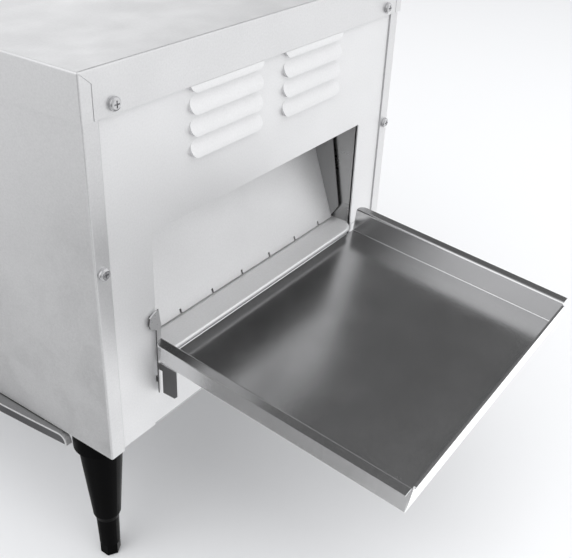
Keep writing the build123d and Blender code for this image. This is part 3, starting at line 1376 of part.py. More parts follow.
housing = block(
    ROCKER_X - ROCKER_W / 2,
    ROCKER_X + ROCKER_W / 2,
    -BEZEL_T,
    ROCKER_DEPTH,
    KNOB_Z - ROCKER_H / 2,
    KNOB_Z + ROCKER_H / 2,
)
housing += block(
    ROCKER_X - ROCKER_W / 2 - ROCKER_RIM,
    ROCKER_X + ROCKER_W / 2 + ROCKER_RIM,
    -BEZEL_T - ROCKER_RIM,
    -BEZEL_T,
    KNOB_Z - ROCKER_H / 2 - ROCKER_RIM,
    KNOB_Z + ROCKER_H / 2 + ROCKER_RIM,
)
housing -= block(
    ROCKER_X - ROCKER_W / 2 + ROCKER_WALL,
    ROCKER_X + ROCKER_W / 2 - ROCKER_WALL,
    -BEZEL_T - ROCKER_RIM - FIT,
    ROCKER_DEPTH / 2,
    KNOB_Z - ROCKER_H / 2 + ROCKER_WALL,
    KNOB_Z + ROCKER_H / 2 - ROCKER_WALL,
)
ROCKER_PIN_Y = SHEET
pin_x0 = ROCKER_X - ROCKER_W / 2 + FIT
pin_x1 = ROCKER_X + ROCKER_W / 2 - FIT
housing += rod_x(ROCKER_PIN_Y, KNOB_Z, ROCKER_PIN_R, pin_x0, pin_x1)
save("rocker_housing", housing)

ROCKER_IN = ROCKER_WALL + 2 * FIT
half_h = ROCKER_H / 2 - ROCKER_IN - 2 * FIT
rocker_points = (
    (-half_h, 0),
    (-half_h, -ROCKER_RIM - 2 * BEZEL_T),
    (0, -ROCKER_RIM - BEZEL_T),
    (half_h, -ROCKER_RIM - 2 * BEZEL_T),
    (half_h, 0),
    (0, ROCKER_RIM + SHEET),
)
rocker_plane = Plane(
    origin=(ROCKER_X - ROCKER_W / 2 + ROCKER_IN, ROCKER_PIN_Y, KNOB_Z), x_dir=(0, 0, 1), z_dir=(-1, 0, 0)
)
rocker_face = rocker_plane * make_face(Polyline(*[(z, y) for z, y in rocker_points], close=True))
rocker = extrude(rocker_face, amount=ROCKER_W - 2 * ROCKER_IN, dir=(1, 0, 0))
rocker = Pos(0, ROCKER_PIN_Y, KNOB_Z) * Rot(ROCKER_TILT, 0, 0) * Pos(0, -ROCKER_PIN_Y, -KNOB_Z) * rocker
rocker -= rod_x(ROCKER_PIN_Y, KNOB_Z, ROCKER_PIN_R + FIT / 6, ROCKER_X - ROCKER_W, ROCKER_X + ROCKER_W)
save("rocker_button", rocker)

lamps = []
for x_lamp in LAMP_X:
    lamp = rod_y(x_lamp, LAMP_Z, LAMP_R, -BEZEL_T, LAMP_DEPTH)
    rim = rod_y(x_lamp, LAMP_Z, LAMP_RIM_R, -BEZEL_T - LAMP_R / 2, -BEZEL_T)
    lamps.append(lamp + fillet(rim.edges().group_by(Axis.Y)[0], LAMP_R / 3))
save("indicator_lamps", group(lamps))

# ---------------------------------------------------------------- back of the oven
gland = rod_y(GLAND_X, GLAND_Z, GLAND_R, BODY_W - SHEET - GLAND_NUT_H - 2 * FIT, BODY_W + GLAND_OUT)
gland = fillet(gland.edges().group_by(Axis.Y)[-1], GLAND_R / 3)
for y_nut in (BODY_W, BODY_W - SHEET - GLAND_NUT_H):
    nut_face = RegularPolygon(GLAND_NUT_AF / 2, 6, major_radius=False)
    nut = extrude(nut_face, amount=GLAND_NUT_H)
    gland += Pos(GLAND_X, y_nut, GLAND_Z) * Rot(-90, 0, 0) * nut
gland -= rod_y(GLAND_X, GLAND_Z, GLAND_BORE, 0, BODY_W + 2 * GLAND_OUT)
save("power_gland", gland)

terminal = block(
    TERMINAL_X - TERMINAL_L / 2,
    TERMINAL_X + TERMINAL_L / 2,
    LINER_Y1 + LINER_SHEET,
    LINER_Y1 + LINER_SHEET + TERMINAL_D,
    TERMINAL_Z - TERMINAL_H / 2,
    TERMINAL_Z + TERMINAL_H / 2,
)
for count in range(TERMINAL_WAYS):
    x_slot = TERMINAL_X - TERMINAL_L / 2 + TERMINAL_L * (count + HALF_STEP) / TERMINAL_WAYS
    terminal -= rod_y(
        x_slot,
        TERMINAL_Z,
        HEAD_R,
        LINER_Y1 + TERMINAL_D - HEAD_R,
        LINER_Y1 + LINER_SHEET + TERMINAL_D + FIT,
    )
save("terminal_block", terminal)


# ---------------------------------------------------------------- legs and feet
def leg():
    """Tapered leg with a mounting flange on z = 0 and a stud above it."""
    points = (
        (0, 0),
        (LEG_FLANGE_R, 0),
        (LEG_FLANGE_R, -LEG_FLANGE_H),
        (LEG_TOP_R, -LEG_FLANGE_H - LEG_FLANGE_SHOULDER),
        (LEG_STEP_R, -LEG_STEP_Z),
        (LEG_NECK_R, -LEG_NECK_Z),
        (LEG_END_R, -LEG_END_Z),
        (0, -LEG_END_Z),
    )
    profile = Plane.XZ * make_face(Polyline(*points, close=True))
    shape = revolve(profile, axis=Axis.Z)
    shape -= rod_z(0, 0, LEG_BORE_R, -LEG_END_Z - FIT, -LEG_END_Z + LEG_BORE_DEPTH)
    return shape + rod_z(0, 0, LEG_STUD_R, -SHEET, LEG_STUD_UP)


def foot():
    """Levelling foot with a hexagon end."""
    top = -LEG_END_Z - FOOT_GAP
    shape = hex_bar(FOOT_AF, 0, 0, -FOOT_Z, top)
    shape = chamfer(shape.edges().group_by(Axis.Z)[0], FOOT_CHAMFER)
    return shape + rod_z(0, 0, FOOT_STUD_R, top - FIT, -LEG_END_Z + FOOT_STUD_LEN)


legs = []
nuts = []
for x_leg, y_leg in LEG_SPOTS:
    legs.append(Pos(x_leg, y_leg, 0) * leg())
    nut = hex_bar(NUT_AF, 0, 0, SHEET, SHEET + NUT_H)
    nut = nut - rod_z(0, 0, LEG_STUD_R + FIT / 10, 0, 2 * NUT_H)
    nuts.append(Pos(x_leg, y_leg, 0) * nut)
save("legs", group(legs))
save("leg_nuts", group(nuts))
FOOT_NAMES = ("foot_front_exit", "foot_rear_exit", "foot_front_infeed", "foot_rear_infeed")
for name, spot in zip(FOOT_NAMES, LEG_SPOTS):
    save(name, Pos(spot[0], spot[1], 0) * foot())

# ---------------------------------------------------------------- shell screws
lid_screws = []
for y_screw in LID_SCREW_Y:
    lid_screws.append(Pos(LID_OUT, y_screw, LID_SCREW_Z) * FACE_EXIT * PAN_SCREW)
    lid_screws.append(Pos(-BODY_L - LID_OUT, y_screw, LID_SCREW_Z) * FACE_INFEED * PAN_SCREW)
for x_screw in SIDE_SCREW_X:
    lid_screws.append(Pos(x_screw, -LID_OUT, LID_SCREW_Z) * FACE_FRONT * PAN_SCREW)
    lid_screws.append(Pos(x_screw, BODY_W + LID_OUT, LID_SCREW_Z) * FACE_REAR * PAN_SCREW)
save("lid_screws", group(lid_screws))

flange_screws = []
for z_screw in FLANGE_SCREW_Z:
    for y_screw in (FLANGE_SCREW_Y, BODY_W - FLANGE_SCREW_Y):
        flange_screws.append(Pos(0, y_screw, z_screw) * FACE_EXIT * PAN_SCREW)
        flange_screws.append(Pos(-BODY_L, y_screw, z_screw) * FACE_INFEED * PAN_SCREW)
save("flange_screws", group(flange_screws))
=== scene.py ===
import json
import math

import bmesh
import bpy
from mathutils import Matrix, Vector, noise


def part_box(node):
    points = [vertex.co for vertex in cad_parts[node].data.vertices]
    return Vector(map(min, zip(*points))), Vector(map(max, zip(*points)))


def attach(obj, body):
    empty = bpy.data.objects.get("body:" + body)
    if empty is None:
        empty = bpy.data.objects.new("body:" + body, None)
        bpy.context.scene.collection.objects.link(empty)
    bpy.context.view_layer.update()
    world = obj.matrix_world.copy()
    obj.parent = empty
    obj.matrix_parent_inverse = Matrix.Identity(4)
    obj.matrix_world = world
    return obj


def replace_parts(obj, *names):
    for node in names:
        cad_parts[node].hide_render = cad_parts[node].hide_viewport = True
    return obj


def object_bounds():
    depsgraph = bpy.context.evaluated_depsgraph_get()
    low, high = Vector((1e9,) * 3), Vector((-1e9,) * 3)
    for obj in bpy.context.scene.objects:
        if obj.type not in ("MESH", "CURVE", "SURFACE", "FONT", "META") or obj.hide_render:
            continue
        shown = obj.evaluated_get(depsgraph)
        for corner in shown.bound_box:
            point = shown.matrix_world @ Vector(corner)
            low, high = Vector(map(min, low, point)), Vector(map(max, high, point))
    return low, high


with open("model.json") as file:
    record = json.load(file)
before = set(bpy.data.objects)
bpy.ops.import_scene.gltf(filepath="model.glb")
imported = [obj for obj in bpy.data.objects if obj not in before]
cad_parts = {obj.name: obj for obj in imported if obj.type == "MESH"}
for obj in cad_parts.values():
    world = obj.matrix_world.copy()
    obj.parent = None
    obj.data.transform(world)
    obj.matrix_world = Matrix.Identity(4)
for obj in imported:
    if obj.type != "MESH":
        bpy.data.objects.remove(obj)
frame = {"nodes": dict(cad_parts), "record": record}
CAD_LOW, CAD_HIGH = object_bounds()
NODES = frame["nodes"]
RECORD = frame["record"]
SLOT_OF = {}
for subpart in RECORD["subparts"]:
    SLOT_OF[subpart["node"]] = subpart["material_slot"]
BODY_OF = {}
for body_name, members in RECORD["behaviour"]["bodies"].items():
    for member in members:
        BODY_OF[member] = body_name
SCENE = bpy.context.scene
SCENE.view_settings.view_transform = "Standard"


# ---------------------------------------------------------------- node helpers
FACING_FULL = 1.9
WHITE = (1.0, 1.0, 1.0)


class Shade:
    """A material under construction: its tree, its principled shader and small node makers."""

    def __init__(self, name, color, metallic, rough):
        self.mat = bpy.data.materials.new(name)
        self.mat.use_nodes = True
        self.tree = self.mat.node_tree
        self.bsdf = self.tree.nodes["Principled BSDF"]
        self.bsdf.inputs["Base Color"].default_value = (*color, 1.0)
        self.bsdf.inputs["Metallic"].default_value = metallic
        self.bsdf.inputs["Roughness"].default_value = rough
        self.coord = self.tree.nodes.new("ShaderNodeTexCoord")

    def link(self, a, b):
        self.tree.links.new(a, b)

    def noise(self, scale, detail=3.0, rough=0.5, offset=(0.0, 0.0, 0.0)):
        """Noise value over the object, with its own scale along each axis."""
        mapping = self.tree.nodes.new("ShaderNodeMapping")
        mapping.inputs["Scale"].default_value = scale
        mapping.inputs["Location"].default_value = offset
        self.link(self.coord.outputs["Object"], mapping.inputs["Vector"])
        texture = self.tree.nodes.new("ShaderNodeTexNoise")
        texture.inputs["Scale"].default_value = 1.0
        texture.inputs["Detail"].default_value = detail
        texture.inputs["Roughness"].default_value = rough
        self.link(mapping.outputs["Vector"], texture.inputs["Vector"])
        return texture.outputs["Fac"]

    def spread(self, value, low, high, out_low, out_high):
        """Map a value from one range to another."""
        node = self.tree.nodes.new("ShaderNodeMapRange")
        node.inputs["From Min"].default_value = low
        node.inputs["From Max"].default_value = high
        node.inputs["To Min"].default_value = out_low
        node.inputs["To Max"].default_value = out_high
        self.link(value, node.inputs["Value"])
        return node.outputs["Result"]

    def math(self, op, a, b):
        """One sum on two values, each a number or a socket."""
        node = self.tree.nodes.new("ShaderNodeMath")
        node.operation = op
        for socket, value in zip(node.inputs, (a, b)):
            if isinstance(value, (int, float)):
                socket.default_value = value
            else:
                self.link(value, socket)
        return node.outputs["Value"]

    def facing(self, axis, low):
        """One on faces that look along an axis (against it when low is negative), none on the others."""
        normal = self.tree.nodes.new("ShaderNodeNewGeometry").outputs["Normal"]
        parts = self.tree.nodes.new("ShaderNodeSeparateXYZ")
        self.link(normal, parts.inputs["Vector"])
        return self.spread(parts.outputs[axis], low, FACING_FULL * low, 0.0, 1.0)

    def mix(self, factor, a, b, blend="MIX"):
        """Blend two colours by a value."""
        node = self.tree.nodes.new("ShaderNodeMix")
        node.data_type = "RGBA"
        node.blend_type = blend
        sockets = [s for s in node.inputs if s.type == "RGBA"]
        for socket, value in zip(sockets, (a, b)):
            if isinstance(value, tuple):
                socket.default_value = (*value, 1.0)
            else:
                self.link(value, socket)
        self.link(factor, node.inputs["Factor"])
        return [s for s in node.outputs if s.type == "RGBA"][0]

    def bump(self, height, strength, distance):
        """Raise the surface by a value."""
        node = self.tree.nodes.new("ShaderNodeBump")
        node.inputs["Strength"].default_value = strength
        node.inputs["Distance"].default_value = distance
        self.link(height, node.inputs["Height"])
        self.link(node.outputs["Normal"], self.bsdf.inputs["Normal"])

    def color(self, socket):
        self.link(socket, self.bsdf.inputs["Base Color"])

    def rough(self, socket):
        self.link(socket, self.bsdf.inputs["Roughness"])


def tinted(color, factor):
    """Colour made lighter or darker, with no channel above one."""
    return tuple(min(1.0, channel * factor) for channel in color)


def brushed(
    name, color, rough, grain, depth, smear, tones=(0.93, 1.05), metallic=1.0, painted_shade_amount=0.0, side="Z", low=0.5
):
    """Sheet metal with a fine grain, faint smears and soft wear. The argument after metallic paints shade:
    it darkens the colour of the faces that look along one side.
    """
    shade = Shade(name, color, metallic, rough)
    fine = shade.noise(grain, 4.0, 0.65)
    cloud = shade.noise((7.0, 7.0, 7.0), 3.0, 0.55, (3.1, 1.7, 0.4))
    wipe = shade.noise((31.0, 26.0, 29.0), 5.0, 0.6, (0.6, 4.2, 2.5))
    tone = shade.math("ADD", shade.math("MULTIPLY", fine, 0.6), shade.math("MULTIPLY", cloud, 0.4))
    dark, light = (tinted(color, factor) for factor in tones)
    worn = shade.mix(shade.spread(tone, 0.3, 0.7, 0.0, 1.0), dark, light)
    # Painted shade: the faces that look along one side get a darker colour.
    if painted_shade_amount > 0.0:
        worn = shade.mix(shade.facing(side, low), worn, tinted(WHITE, 1.0 - painted_shade_amount), "MULTIPLY")
    shade.color(worn)
    grit = shade.spread(fine, 0.3, 0.7, -depth, depth)
    haze = shade.spread(shade.math("ADD", cloud, wipe), 0.75, 1.25, -smear, smear)
    shade.rough(shade.math("ADD", shade.math("ADD", grit, haze), rough))
    shade.bump(fine, 0.03, 0.0004)
    return shade.mat


def moulded(name, color, rough, grain_scale=900.0, depth=0.25, coat=0.0, shine=0.5):
    """Moulded plastic or painted metal with a fine grain and handling marks."""
    shade = Shade(name, color, 0.0, rough)
    fine = shade.noise((grain_scale,) * 3, 2.0, 0.5)
    worn = shade.noise((23.0, 19.0, 21.0), 4.0, 0.6, (1.2, 0.3, 2.2))
    shade.color(shade.mix(shade.spread(worn, 0.35, 0.7, 0.0, 1.0), tinted(color, 0.85), tinted(color, 1.3)))
    grit = shade.spread(fine, 0.3, 0.7, -0.05, 0.05)
    shade.rough(shade.math("ADD", shade.math("ADD", grit, rough), shade.spread(worn, 0.3, 0.7, -0.06, 0.06)))
    shade.bsdf.inputs["Coat Weight"].default_value = coat
    shade.bsdf.inputs["Specular IOR Level"].default_value = shine
    shade.bump(fine, depth, 0.00025)
    return shade.mat


ALONG_X = (9.0, 520.0, 520.0)
FINE = (700.0, 700.0, 700.0)

FINISH = {
    "panel_steel": brushed("panel_steel", (0.77, 0.77, 0.775), 0.38, FINE, 0.04, 0.08, (0.9, 1.06), 0.86),
    # Tray steel paints shade: its upward faces, the tray floor, get a colour half as bright.
    "tray_steel": brushed("tray_steel", (0.8, 0.8, 0.805), 0.22, FINE, 0.03, 0.03, (0.91, 1.08), 0.93, 0.5),
    "liner_steel": brushed("liner_steel", (0.5, 0.5, 0.5), 0.3, ALONG_X, 0.05, 0.08),
    "zinc_steel": brushed("zinc_steel", (0.6, 0.61, 0.64), 0.36, FINE, 0.05, 0.1),
    "wire_steel": brushed("wire_steel", (0.56, 0.53, 0.49), 0.3, FINE, 0.06, 0.1),
    "shaft_steel": brushed("shaft_steel", (0.62, 0.62, 0.63), 0.24, FINE, 0.05, 0.05),
    "screw_chrome": brushed("screw_chrome", (0.62, 0.62, 0.63), 0.12, FINE, 0.03, 0.04),
    "heater_sheath": brushed("heater_sheath", (0.16, 0.15, 0.14), 0.5, FINE, 0.08, 0.1),
    "reflector_sheet": brushed("reflector_sheet", (0.84, 0.85, 0.86), 0.2, ALONG_X, 0.04, 0.06),
    "bush_brass": brushed("bush_brass", (0.72, 0.53, 0.25), 0.3, FINE, 0.06, 0.08),
    "leg_black": moulded("leg_black", (0.002, 0.002, 0.0022), 0.42, shine=0.03),
    "foot_black": moulded("foot_black", (0.002, 0.002, 0.0022), 0.45, shine=0.03),
    "grip_grey": moulded("grip_grey", (0.06, 0.06, 0.063), 0.5),
    "knob_black": moulded("knob_black", (0.02, 0.02, 0.021), 0.42),
    "ceramic_white": moulded("ceramic_white", (0.8, 0.77, 0.69), 0.35, 300.0, 0.1, 0.4),
    "blanket_fibre": moulded("blanket_fibre", (0.76, 0.71, 0.6), 0.95, 420.0, 0.9),
    "motor_paint": moulded("motor_paint", (0.05, 0.06, 0.07), 0.4, 500.0, 0.15),
    "fan_black": moulded("fan_black", (0.022, 0.022, 0.023), 0.45),
    "bezel_grey": moulded("bezel_grey", (0.09, 0.09, 0.095), 0.45, 1100.0, 0.3),
    "rocker_black": moulded("rocker_black", (0.015, 0.015, 0.016), 0.2, 200.0, 0.05, 0.5),
    "lamp_amber": moulded("lamp_amber", (0.7, 0.24, 0.04), 0.18, 200.0, 0.05, 0.6),
    "terminal_cream": moulded("terminal_cream", (0.72, 0.67, 0.54), 0.5),
    "gland_black": moulded("gland_black", (0.02, 0.02, 0.021), 0.45),
}
# Rougher copy of the panel steel for the exit end panel and the chute: its lighter colour is painted light.
DULL_LIT_STEEL = brushed("dull_steel_painted_light", (0.84, 0.84, 0.845), 0.48, FINE, 0.05, 0.08, (0.92, 1.05), 0.62)
# Crumb tray steel with painted shade: its upward faces get a colour a quarter as bright.
TOP_SHADED_STEEL = brushed("top_shaded_steel", (0.78, 0.78, 0.785), 0.4, FINE, 0.05, 0.04, (0.84, 1.14), 0.7, 0.75)
# Darker copy of the steel for the chute gussets, which stand in shade: the darker colour is painted shade.
GUSSET_SHADE_STEEL = brushed("gusset_painted_shade_steel", (0.36, 0.36, 0.362), 0.34, FINE, 0.05, 0.04)
# Hanger steel with painted shade: the faces that look to the front get a colour a fifth as bright.
HOOK = brushed("hook_steel_front_shaded", (0.74, 0.74, 0.745), 0.3, FINE, 0.04, 0.04, (0.93, 1.05), 1.0, 0.8, "Y", -0.5)
SPECIAL = {
    "chute_slide": DULL_LIT_STEEL,
    "chute_nose": DULL_LIT_STEEL,
    "exit_end_panel": DULL_LIT_STEEL,
    "chute_gussets": GUSSET_SHADE_STEEL,
    "crumb_tray": TOP_SHADED_STEEL,
    "tray_hanger_front": HOOK,
    "tray_hanger_rear": HOOK,
}
for node_name, node in NODES.items():
    node.data.materials.clear()
    node.data.materials.append(SPECIAL.get(node_name, FINISH[SLOT_OF[node_name]]))

# ---------------------------------------------------------------- mesh helpers
SHARP_ANGLE = math.radians(42.0)
EAST = Vector((1.0, 0.0, 0.0))
NORTH = Vector((0.0, 1.0, 0.0))
UP = Vector((0.0, 0.0, 1.0))
JOINT_PLACE = {}
for joint in RECORD["behaviour"]["joints"]:
    JOINT_PLACE[joint["name"]] = Vector(joint.get("pos_m", (0.0, 0.0, 0.0)))


def settle(piece, slot, body):
    """Give a new piece its finish and the body it rides on."""
    SCENE.collection.objects.link(piece)
    piece.data.materials.append(FINISH[slot])
    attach(piece, body)
    return piece


class Build:
    """Vertices and faces of one piece being put together."""

    def __init__(self):
        self.points = []
        self.faces = []

    def prism(self, outline, place, u, v, low, high):
        """Closed outline in the u, v plane, thick along its normal from low to high."""
        base = len(self.points)
        count = len(outline)
        normal = u.cross(v)
        for level in (low, high):
            for a, b in outline:
                self.points.append(place + u * a + v * b + normal * level)
        self.faces.append(tuple(base + i for i in reversed(range(count))))
        self.faces.append(tuple(base + count + i for i in range(count)))
        for i in range(count):
            j = (i + 1) % count
            self.faces.append((base + i, base + j, base + count + j, base + count + i))

    def hoop(self, inner, outer, count, place, u, v, low, high):
        """Flat ring in the u, v plane, thick along its normal from low to high."""
        base = len(self.points)
        normal = u.cross(v)
        for radius, level in ((inner, low), (outer, low), (outer, high), (inner, high)):
            for a, b in ring(radius, count):
                self.points.append(place + u * a + v * b + normal * level)
        for lane in range(4):
            for k in range(count):
                here = base + lane * count
                beyond = base + (lane + 1) % 4 * count
                after = (k + 1) % count
                self.faces.append((here + k, here + after, beyond + after, beyond + k))

    def tube(self, path, radius, sides, up):
        """Round bar along a path, capped at both ends. up is never along the path."""
        base = len(self.points)
        for i, spot in enumerate(path):
            along = (path[min(i + 1, len(path) - 1)] - path[max(i - 1, 0)]).normalized()
            side = along.cross(up).normalized()
            rise = side.cross(along)
            for k in range(sides):
                angle = 2 * math.pi * k / sides
                sideways = side * (radius * math.cos(angle))
                upward = rise * (radius * math.sin(angle))
                self.points.append(spot + sideways + upward)
        for i in range(len(path) - 1):
            for k in range(sides):
                a = base + i * sides + k
                b = base + i * sides + (k + 1) % sides
                self.faces.append((a, b, b + sides, a + sides))
        last = base + (len(path) - 1) * sides
        self.faces.append(tuple(base + k for k in reversed(range(sides))))
        self.faces.append(tuple(last + k for k in range(sides)))

    def piece(self, name, slot, body):
        """Object made of everything added so far."""
        mesh = bpy.data.meshes.new(name)
        mesh.from_pydata([tuple(p) for p in self.points], [], self.faces)
        work = bmesh.new()
        work.from_mesh(mesh)
        bmesh.ops.recalc_face_normals(work, faces=work.faces)
        work.to_mesh(mesh)
        work.free()
        mesh.shade_smooth()
        mesh.set_sharp_from_angle(angle=SHARP_ANGLE)
        return settle(bpy.data.objects.new(name, mesh), slot, body)


def stadium(half_length, half_height, steps=5):
    """Outline of a bar with round ends."""
    outline = []
    for end in (1, -1):
        for i in range(steps + 1):
            angle = math.pi * (i / steps - 0.5)
            reach = half_length + half_height * math.cos(angle)
            outline.append((end * reach, end * half_height * math.sin(angle)))
    return outline


def ring(radius, count):
    """Round outline."""
    turns = [2 * math.pi * i / count for i in range(count)]
    return [(radius * math.cos(turn), radius * math.sin(turn)) for turn in turns]


def eased(path, cut):
    """Path with every corner between its ends cut off."""
    soft = [path[0]]
    for before, spot, after in zip(path, path[1:], path[2:]):
        for other in (before, after):
            way = other - spot
            soft.append(spot + way.normalized() * min(cut, way.length / 2.1))
    return soft + [path[-1]]


class Loop:
    """Closed run round two wheels, seen along y and followed the way the angle grows."""

    def __init__(self, first, second, first_r, second_r):
        gap = second - first
        heading = math.atan2(gap.z, gap.x)
        lean = math.asin((first_r - second_r) / gap.length)
        self.straight = math.sqrt(gap.length_squared - (first_r - second_r) ** 2)
        quarter = math.pi / 2 - lean
        self.legs = (
            (first, second, first_r, second_r, heading - quarter, 2 * quarter),
            (second, first, second_r, first_r, heading + quarter, 2 * (math.pi - quarter)),
        )
        self.length = 2 * self.straight + sum(leg[3] * leg[5] for leg in self.legs)

    @staticmethod
    def way(angle):
        """Direction at an angle from x toward z."""
        return Vector((math.cos(angle), 0.0, math.sin(angle)))

    def at(self, distance):
        """Place, direction of travel and outward direction at a distance round the loop."""
        distance %= self.length
        for start, end, start_r, end_r, normal, wrap in self.legs:
            if distance <= self.straight:
                out = self.way(normal)
                travel = self.way(normal + math.pi / 2)
                return start + out * start_r + travel * distance, travel, out
            distance -= self.straight
            if distance <= wrap * end_r:
                angle = normal + distance / end_r
                out = self.way(angle)
                return end + out * end_r, self.way(angle + math.pi / 2), out
            distance -= wrap * end_r
        return self.at(0.0)


def level_at(place, y):
    """The same place moved to another y."""
    return Vector((place.x, y, place.z))


# ---------------------------------------------------------------- wire belt
BELT_LOW, BELT_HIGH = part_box("conveyor_belt")
WIRE_R = 0.0009
BELT_R = (BELT_HIGH.z - BELT_LOW.z) / 2 - WIRE_R
STRANDS = 118
HOOKS = 7
HOOK_HALF = 0.0017
HOOK_PAST = 2.3 * WIRE_R
HOOK_TOP = 1.9 * WIRE_R
HOOK_END = 0.6 * WIRE_R
BEND_CUT = 0.0006
WIRE_SIDES = 6
BELT_EDGE = 0.0045
drive_axis = level_at(JOINT_PLACE["drive_spin"], 0.0)
idler_axis = level_at(JOINT_PLACE["idler_spin"], 0.0)
belt_loop = Loop(idler_axis, drive_axis, BELT_R, BELT_R)
STRAND_PITCH = belt_loop.length / STRANDS


def on_belt(distance, y, lift):
    """Place on the belt at a distance round it, lifted off its middle surface."""
    spot, _, out = belt_loop.at(distance)
    return level_at(spot + out * lift, y)


belt = Build()
hook_pitch = (BELT_HIGH.y - BELT_LOW.y - 2 * BELT_EDGE) / (HOOKS - 1)
for strand in range(STRANDS):
    start = strand * STRAND_PITCH
    path = [on_belt(start, BELT_LOW.y + WIRE_R, 0.0)]
    for hook in range(HOOKS):
        y_hook = BELT_LOW.y + BELT_EDGE + hook * hook_pitch
        over = start + STRAND_PITCH - WIRE_R
        beyond = start + STRAND_PITCH + HOOK_PAST
        path.append(on_belt(start, y_hook - HOOK_HALF, 0.0))
        path.append(on_belt(over, y_hook - HOOK_HALF, HOOK_TOP))
        path.append(on_belt(beyond, y_hook - HOOK_HALF, HOOK_END))
        path.append(on_belt(beyond, y_hook + HOOK_HALF, HOOK_END))
        path.append(on_belt(over, y_hook + HOOK_HALF, HOOK_TOP))
        path.append(on_belt(start, y_hook + HOOK_HALF, 0.0))
    path.append(on_belt(start, BELT_HIGH.y - WIRE_R, 0.0))
    out = belt_loop.at(start + STRAND_PITCH / 2)[2]
    belt.tube(eased(path, BEND_CUT), WIRE_R, WIRE_SIDES, out)
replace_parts(belt.piece("wire_belt", "wire_steel", "chassis"), "conveyor_belt")

# ---------------------------------------------------------------- drive chain
CHAIN_LOW, CHAIN_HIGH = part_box("drive_chain")
CHAIN_HALF = 0.0017
LINK_PITCH = 0.00635
PLATE_HALF = 0.0015
PLATE_T = 0.0005
INNER_PLATE = 0.00105
OUTER_PLATE = 0.0016
ROLLER_R = 0.0011
ROLLER_HALF = 0.001
PIN_R = 0.0006
PIN_HALF = 0.0021
chain_y = (CHAIN_LOW.y + CHAIN_HIGH.y) / 2
drive_r = (CHAIN_HIGH.x - drive_axis.x) - CHAIN_HALF
motor_axis = level_at(JOINT_PLACE["motor_spin"], 0.0)
motor_r = (motor_axis.x - CHAIN_LOW.x) - CHAIN_HALF
chain_loop = Loop(motor_axis, drive_axis, motor_r, drive_r)
links = 2 * round(chain_loop.length / LINK_PITCH / 2)
chain = Build()
for link in range(links):
    a = chain_loop.at(link * chain_loop.length / links)[0]
    b = chain_loop.at((link + 1) * chain_loop.length / links)[0]
    middle = level_at((a + b) / 2, chain_y)
    along = (b - a).normalized()
    across = along.cross(NORTH)
    offset = INNER_PLATE if link % 2 else OUTER_PLATE
    for side in (-1, 1):
        face = sorted((side * offset, side * (offset + PLATE_T)))
        chain.prism(stadium((b - a).length / 2, PLATE_HALF), middle, along, across, -face[1], -face[0])
    hinge = level_at(a, chain_y)
    chain.prism(ring(ROLLER_R, 10), hinge, along, across, -ROLLER_HALF, ROLLER_HALF)
    chain.prism(ring(PIN_R, 8), hinge, along, across, -PIN_HALF, PIN_HALF)
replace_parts(chain.piece("roller_chain", "zinc_steel", "chassis"), "drive_chain")

# ---------------------------------------------------------------- fibre blanket
PAD_LOW, PAD_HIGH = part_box("insulation_blanket")
PAD_CUTS = 39
QUILT = 0.085
SEAM_WIDTH = 0.09
SEAM_DEPTH = 0.35
RIM_HEIGHT = 0.45
CROWN_HEIGHT = 0.55
EDGE_PULL = 0.012
pad_mesh = bpy.data.meshes.new("fibre_blanket")
work = bmesh.new()
bmesh.ops.create_cube(work, size=2.0)
bmesh.ops.subdivide_edges(work, edges=work.edges[:], cuts=PAD_CUTS, use_grid_fill=True)
pad_middle = (PAD_LOW + PAD_HIGH) / 2
pad_half = (PAD_HIGH - PAD_LOW) / 2
for vert in work.verts:
    x, y, z = vert.co
    round_off = (1 - abs(x) ** 14) ** 0.5 * (1 - abs(y) ** 10) ** 0.5
    spot = Vector((pad_middle.x + pad_half.x * x, pad_middle.y + pad_half.y * y, 0.0))
    seam = min(abs((spot.x / QUILT) % 1.0 - 0.5), abs((spot.y / QUILT) % 1.0 - 0.5))
    quilting = 1.0 - SEAM_DEPTH * math.exp(-((seam / SEAM_WIDTH) ** 2))
    lump = 0.10 * noise.noise(spot * 38.0) + 0.05 * noise.noise(spot * 105.0)
    height = RIM_HEIGHT + CROWN_HEIGHT * round_off * quilting + lump if z > 0 else 0.0
    edge = 1.0 - EDGE_PULL * (0.5 + noise.noise(spot * 60.0))
    level = PAD_LOW.z + 2 * pad_half.z * min(1.0, height) * (z + 1) / 2
    vert.co = Vector((pad_middle.x + pad_half.x * x * edge, pad_middle.y + pad_half.y * y * edge, level))
work.to_mesh(pad_mesh)
work.free()
pad_mesh.shade_smooth()
pad = settle(bpy.data.objects.new("fibre_blanket", pad_mesh), "blanket_fibre", "chassis")
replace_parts(pad, "insulation_blanket")

# ---------------------------------------------------------------- dial scales and pointers
BEZEL_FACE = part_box("control_bezel")[0].y
MARK_T = 0.00015
DIAL_STEPS = 11
STEP_TURN = 30.0
TICK = [(0.0225, -0.00035), (0.0252, -0.00025), (0.0252, 0.00025), (0.0225, 0.00035)]
FIGURE_R = 0.0285
FIGURE_SIZE = 0.0052
POINTER_R = 0.0082
POINTER_HALF = (0.0042, 0.0005)
DIALS = {
    "upper_heat_dial": "heat_knob_upper",
    "lower_heat_dial": "heat_knob_lower",
    "speed_dial": "speed_knob",
}


def dial_figure(name, number, place):
    """Raised figure that stands on the bezel and looks to the front."""
    text = bpy.data.curves.new("dial_figure", "FONT")
    text.body = str(number)
    text.size = FIGURE_SIZE
    text.extrude = MARK_T / 2
    text.align_x = "CENTER"
    text.align_y = "CENTER"
    figure = bpy.data.objects.new(name, text)
    upright = Matrix.Rotation(math.pi / 2, 4, "X")
    figure.matrix_world = Matrix.Translation(place - NORTH * MARK_T / 2) @ upright
    settle(figure, "terminal_cream", "chassis")


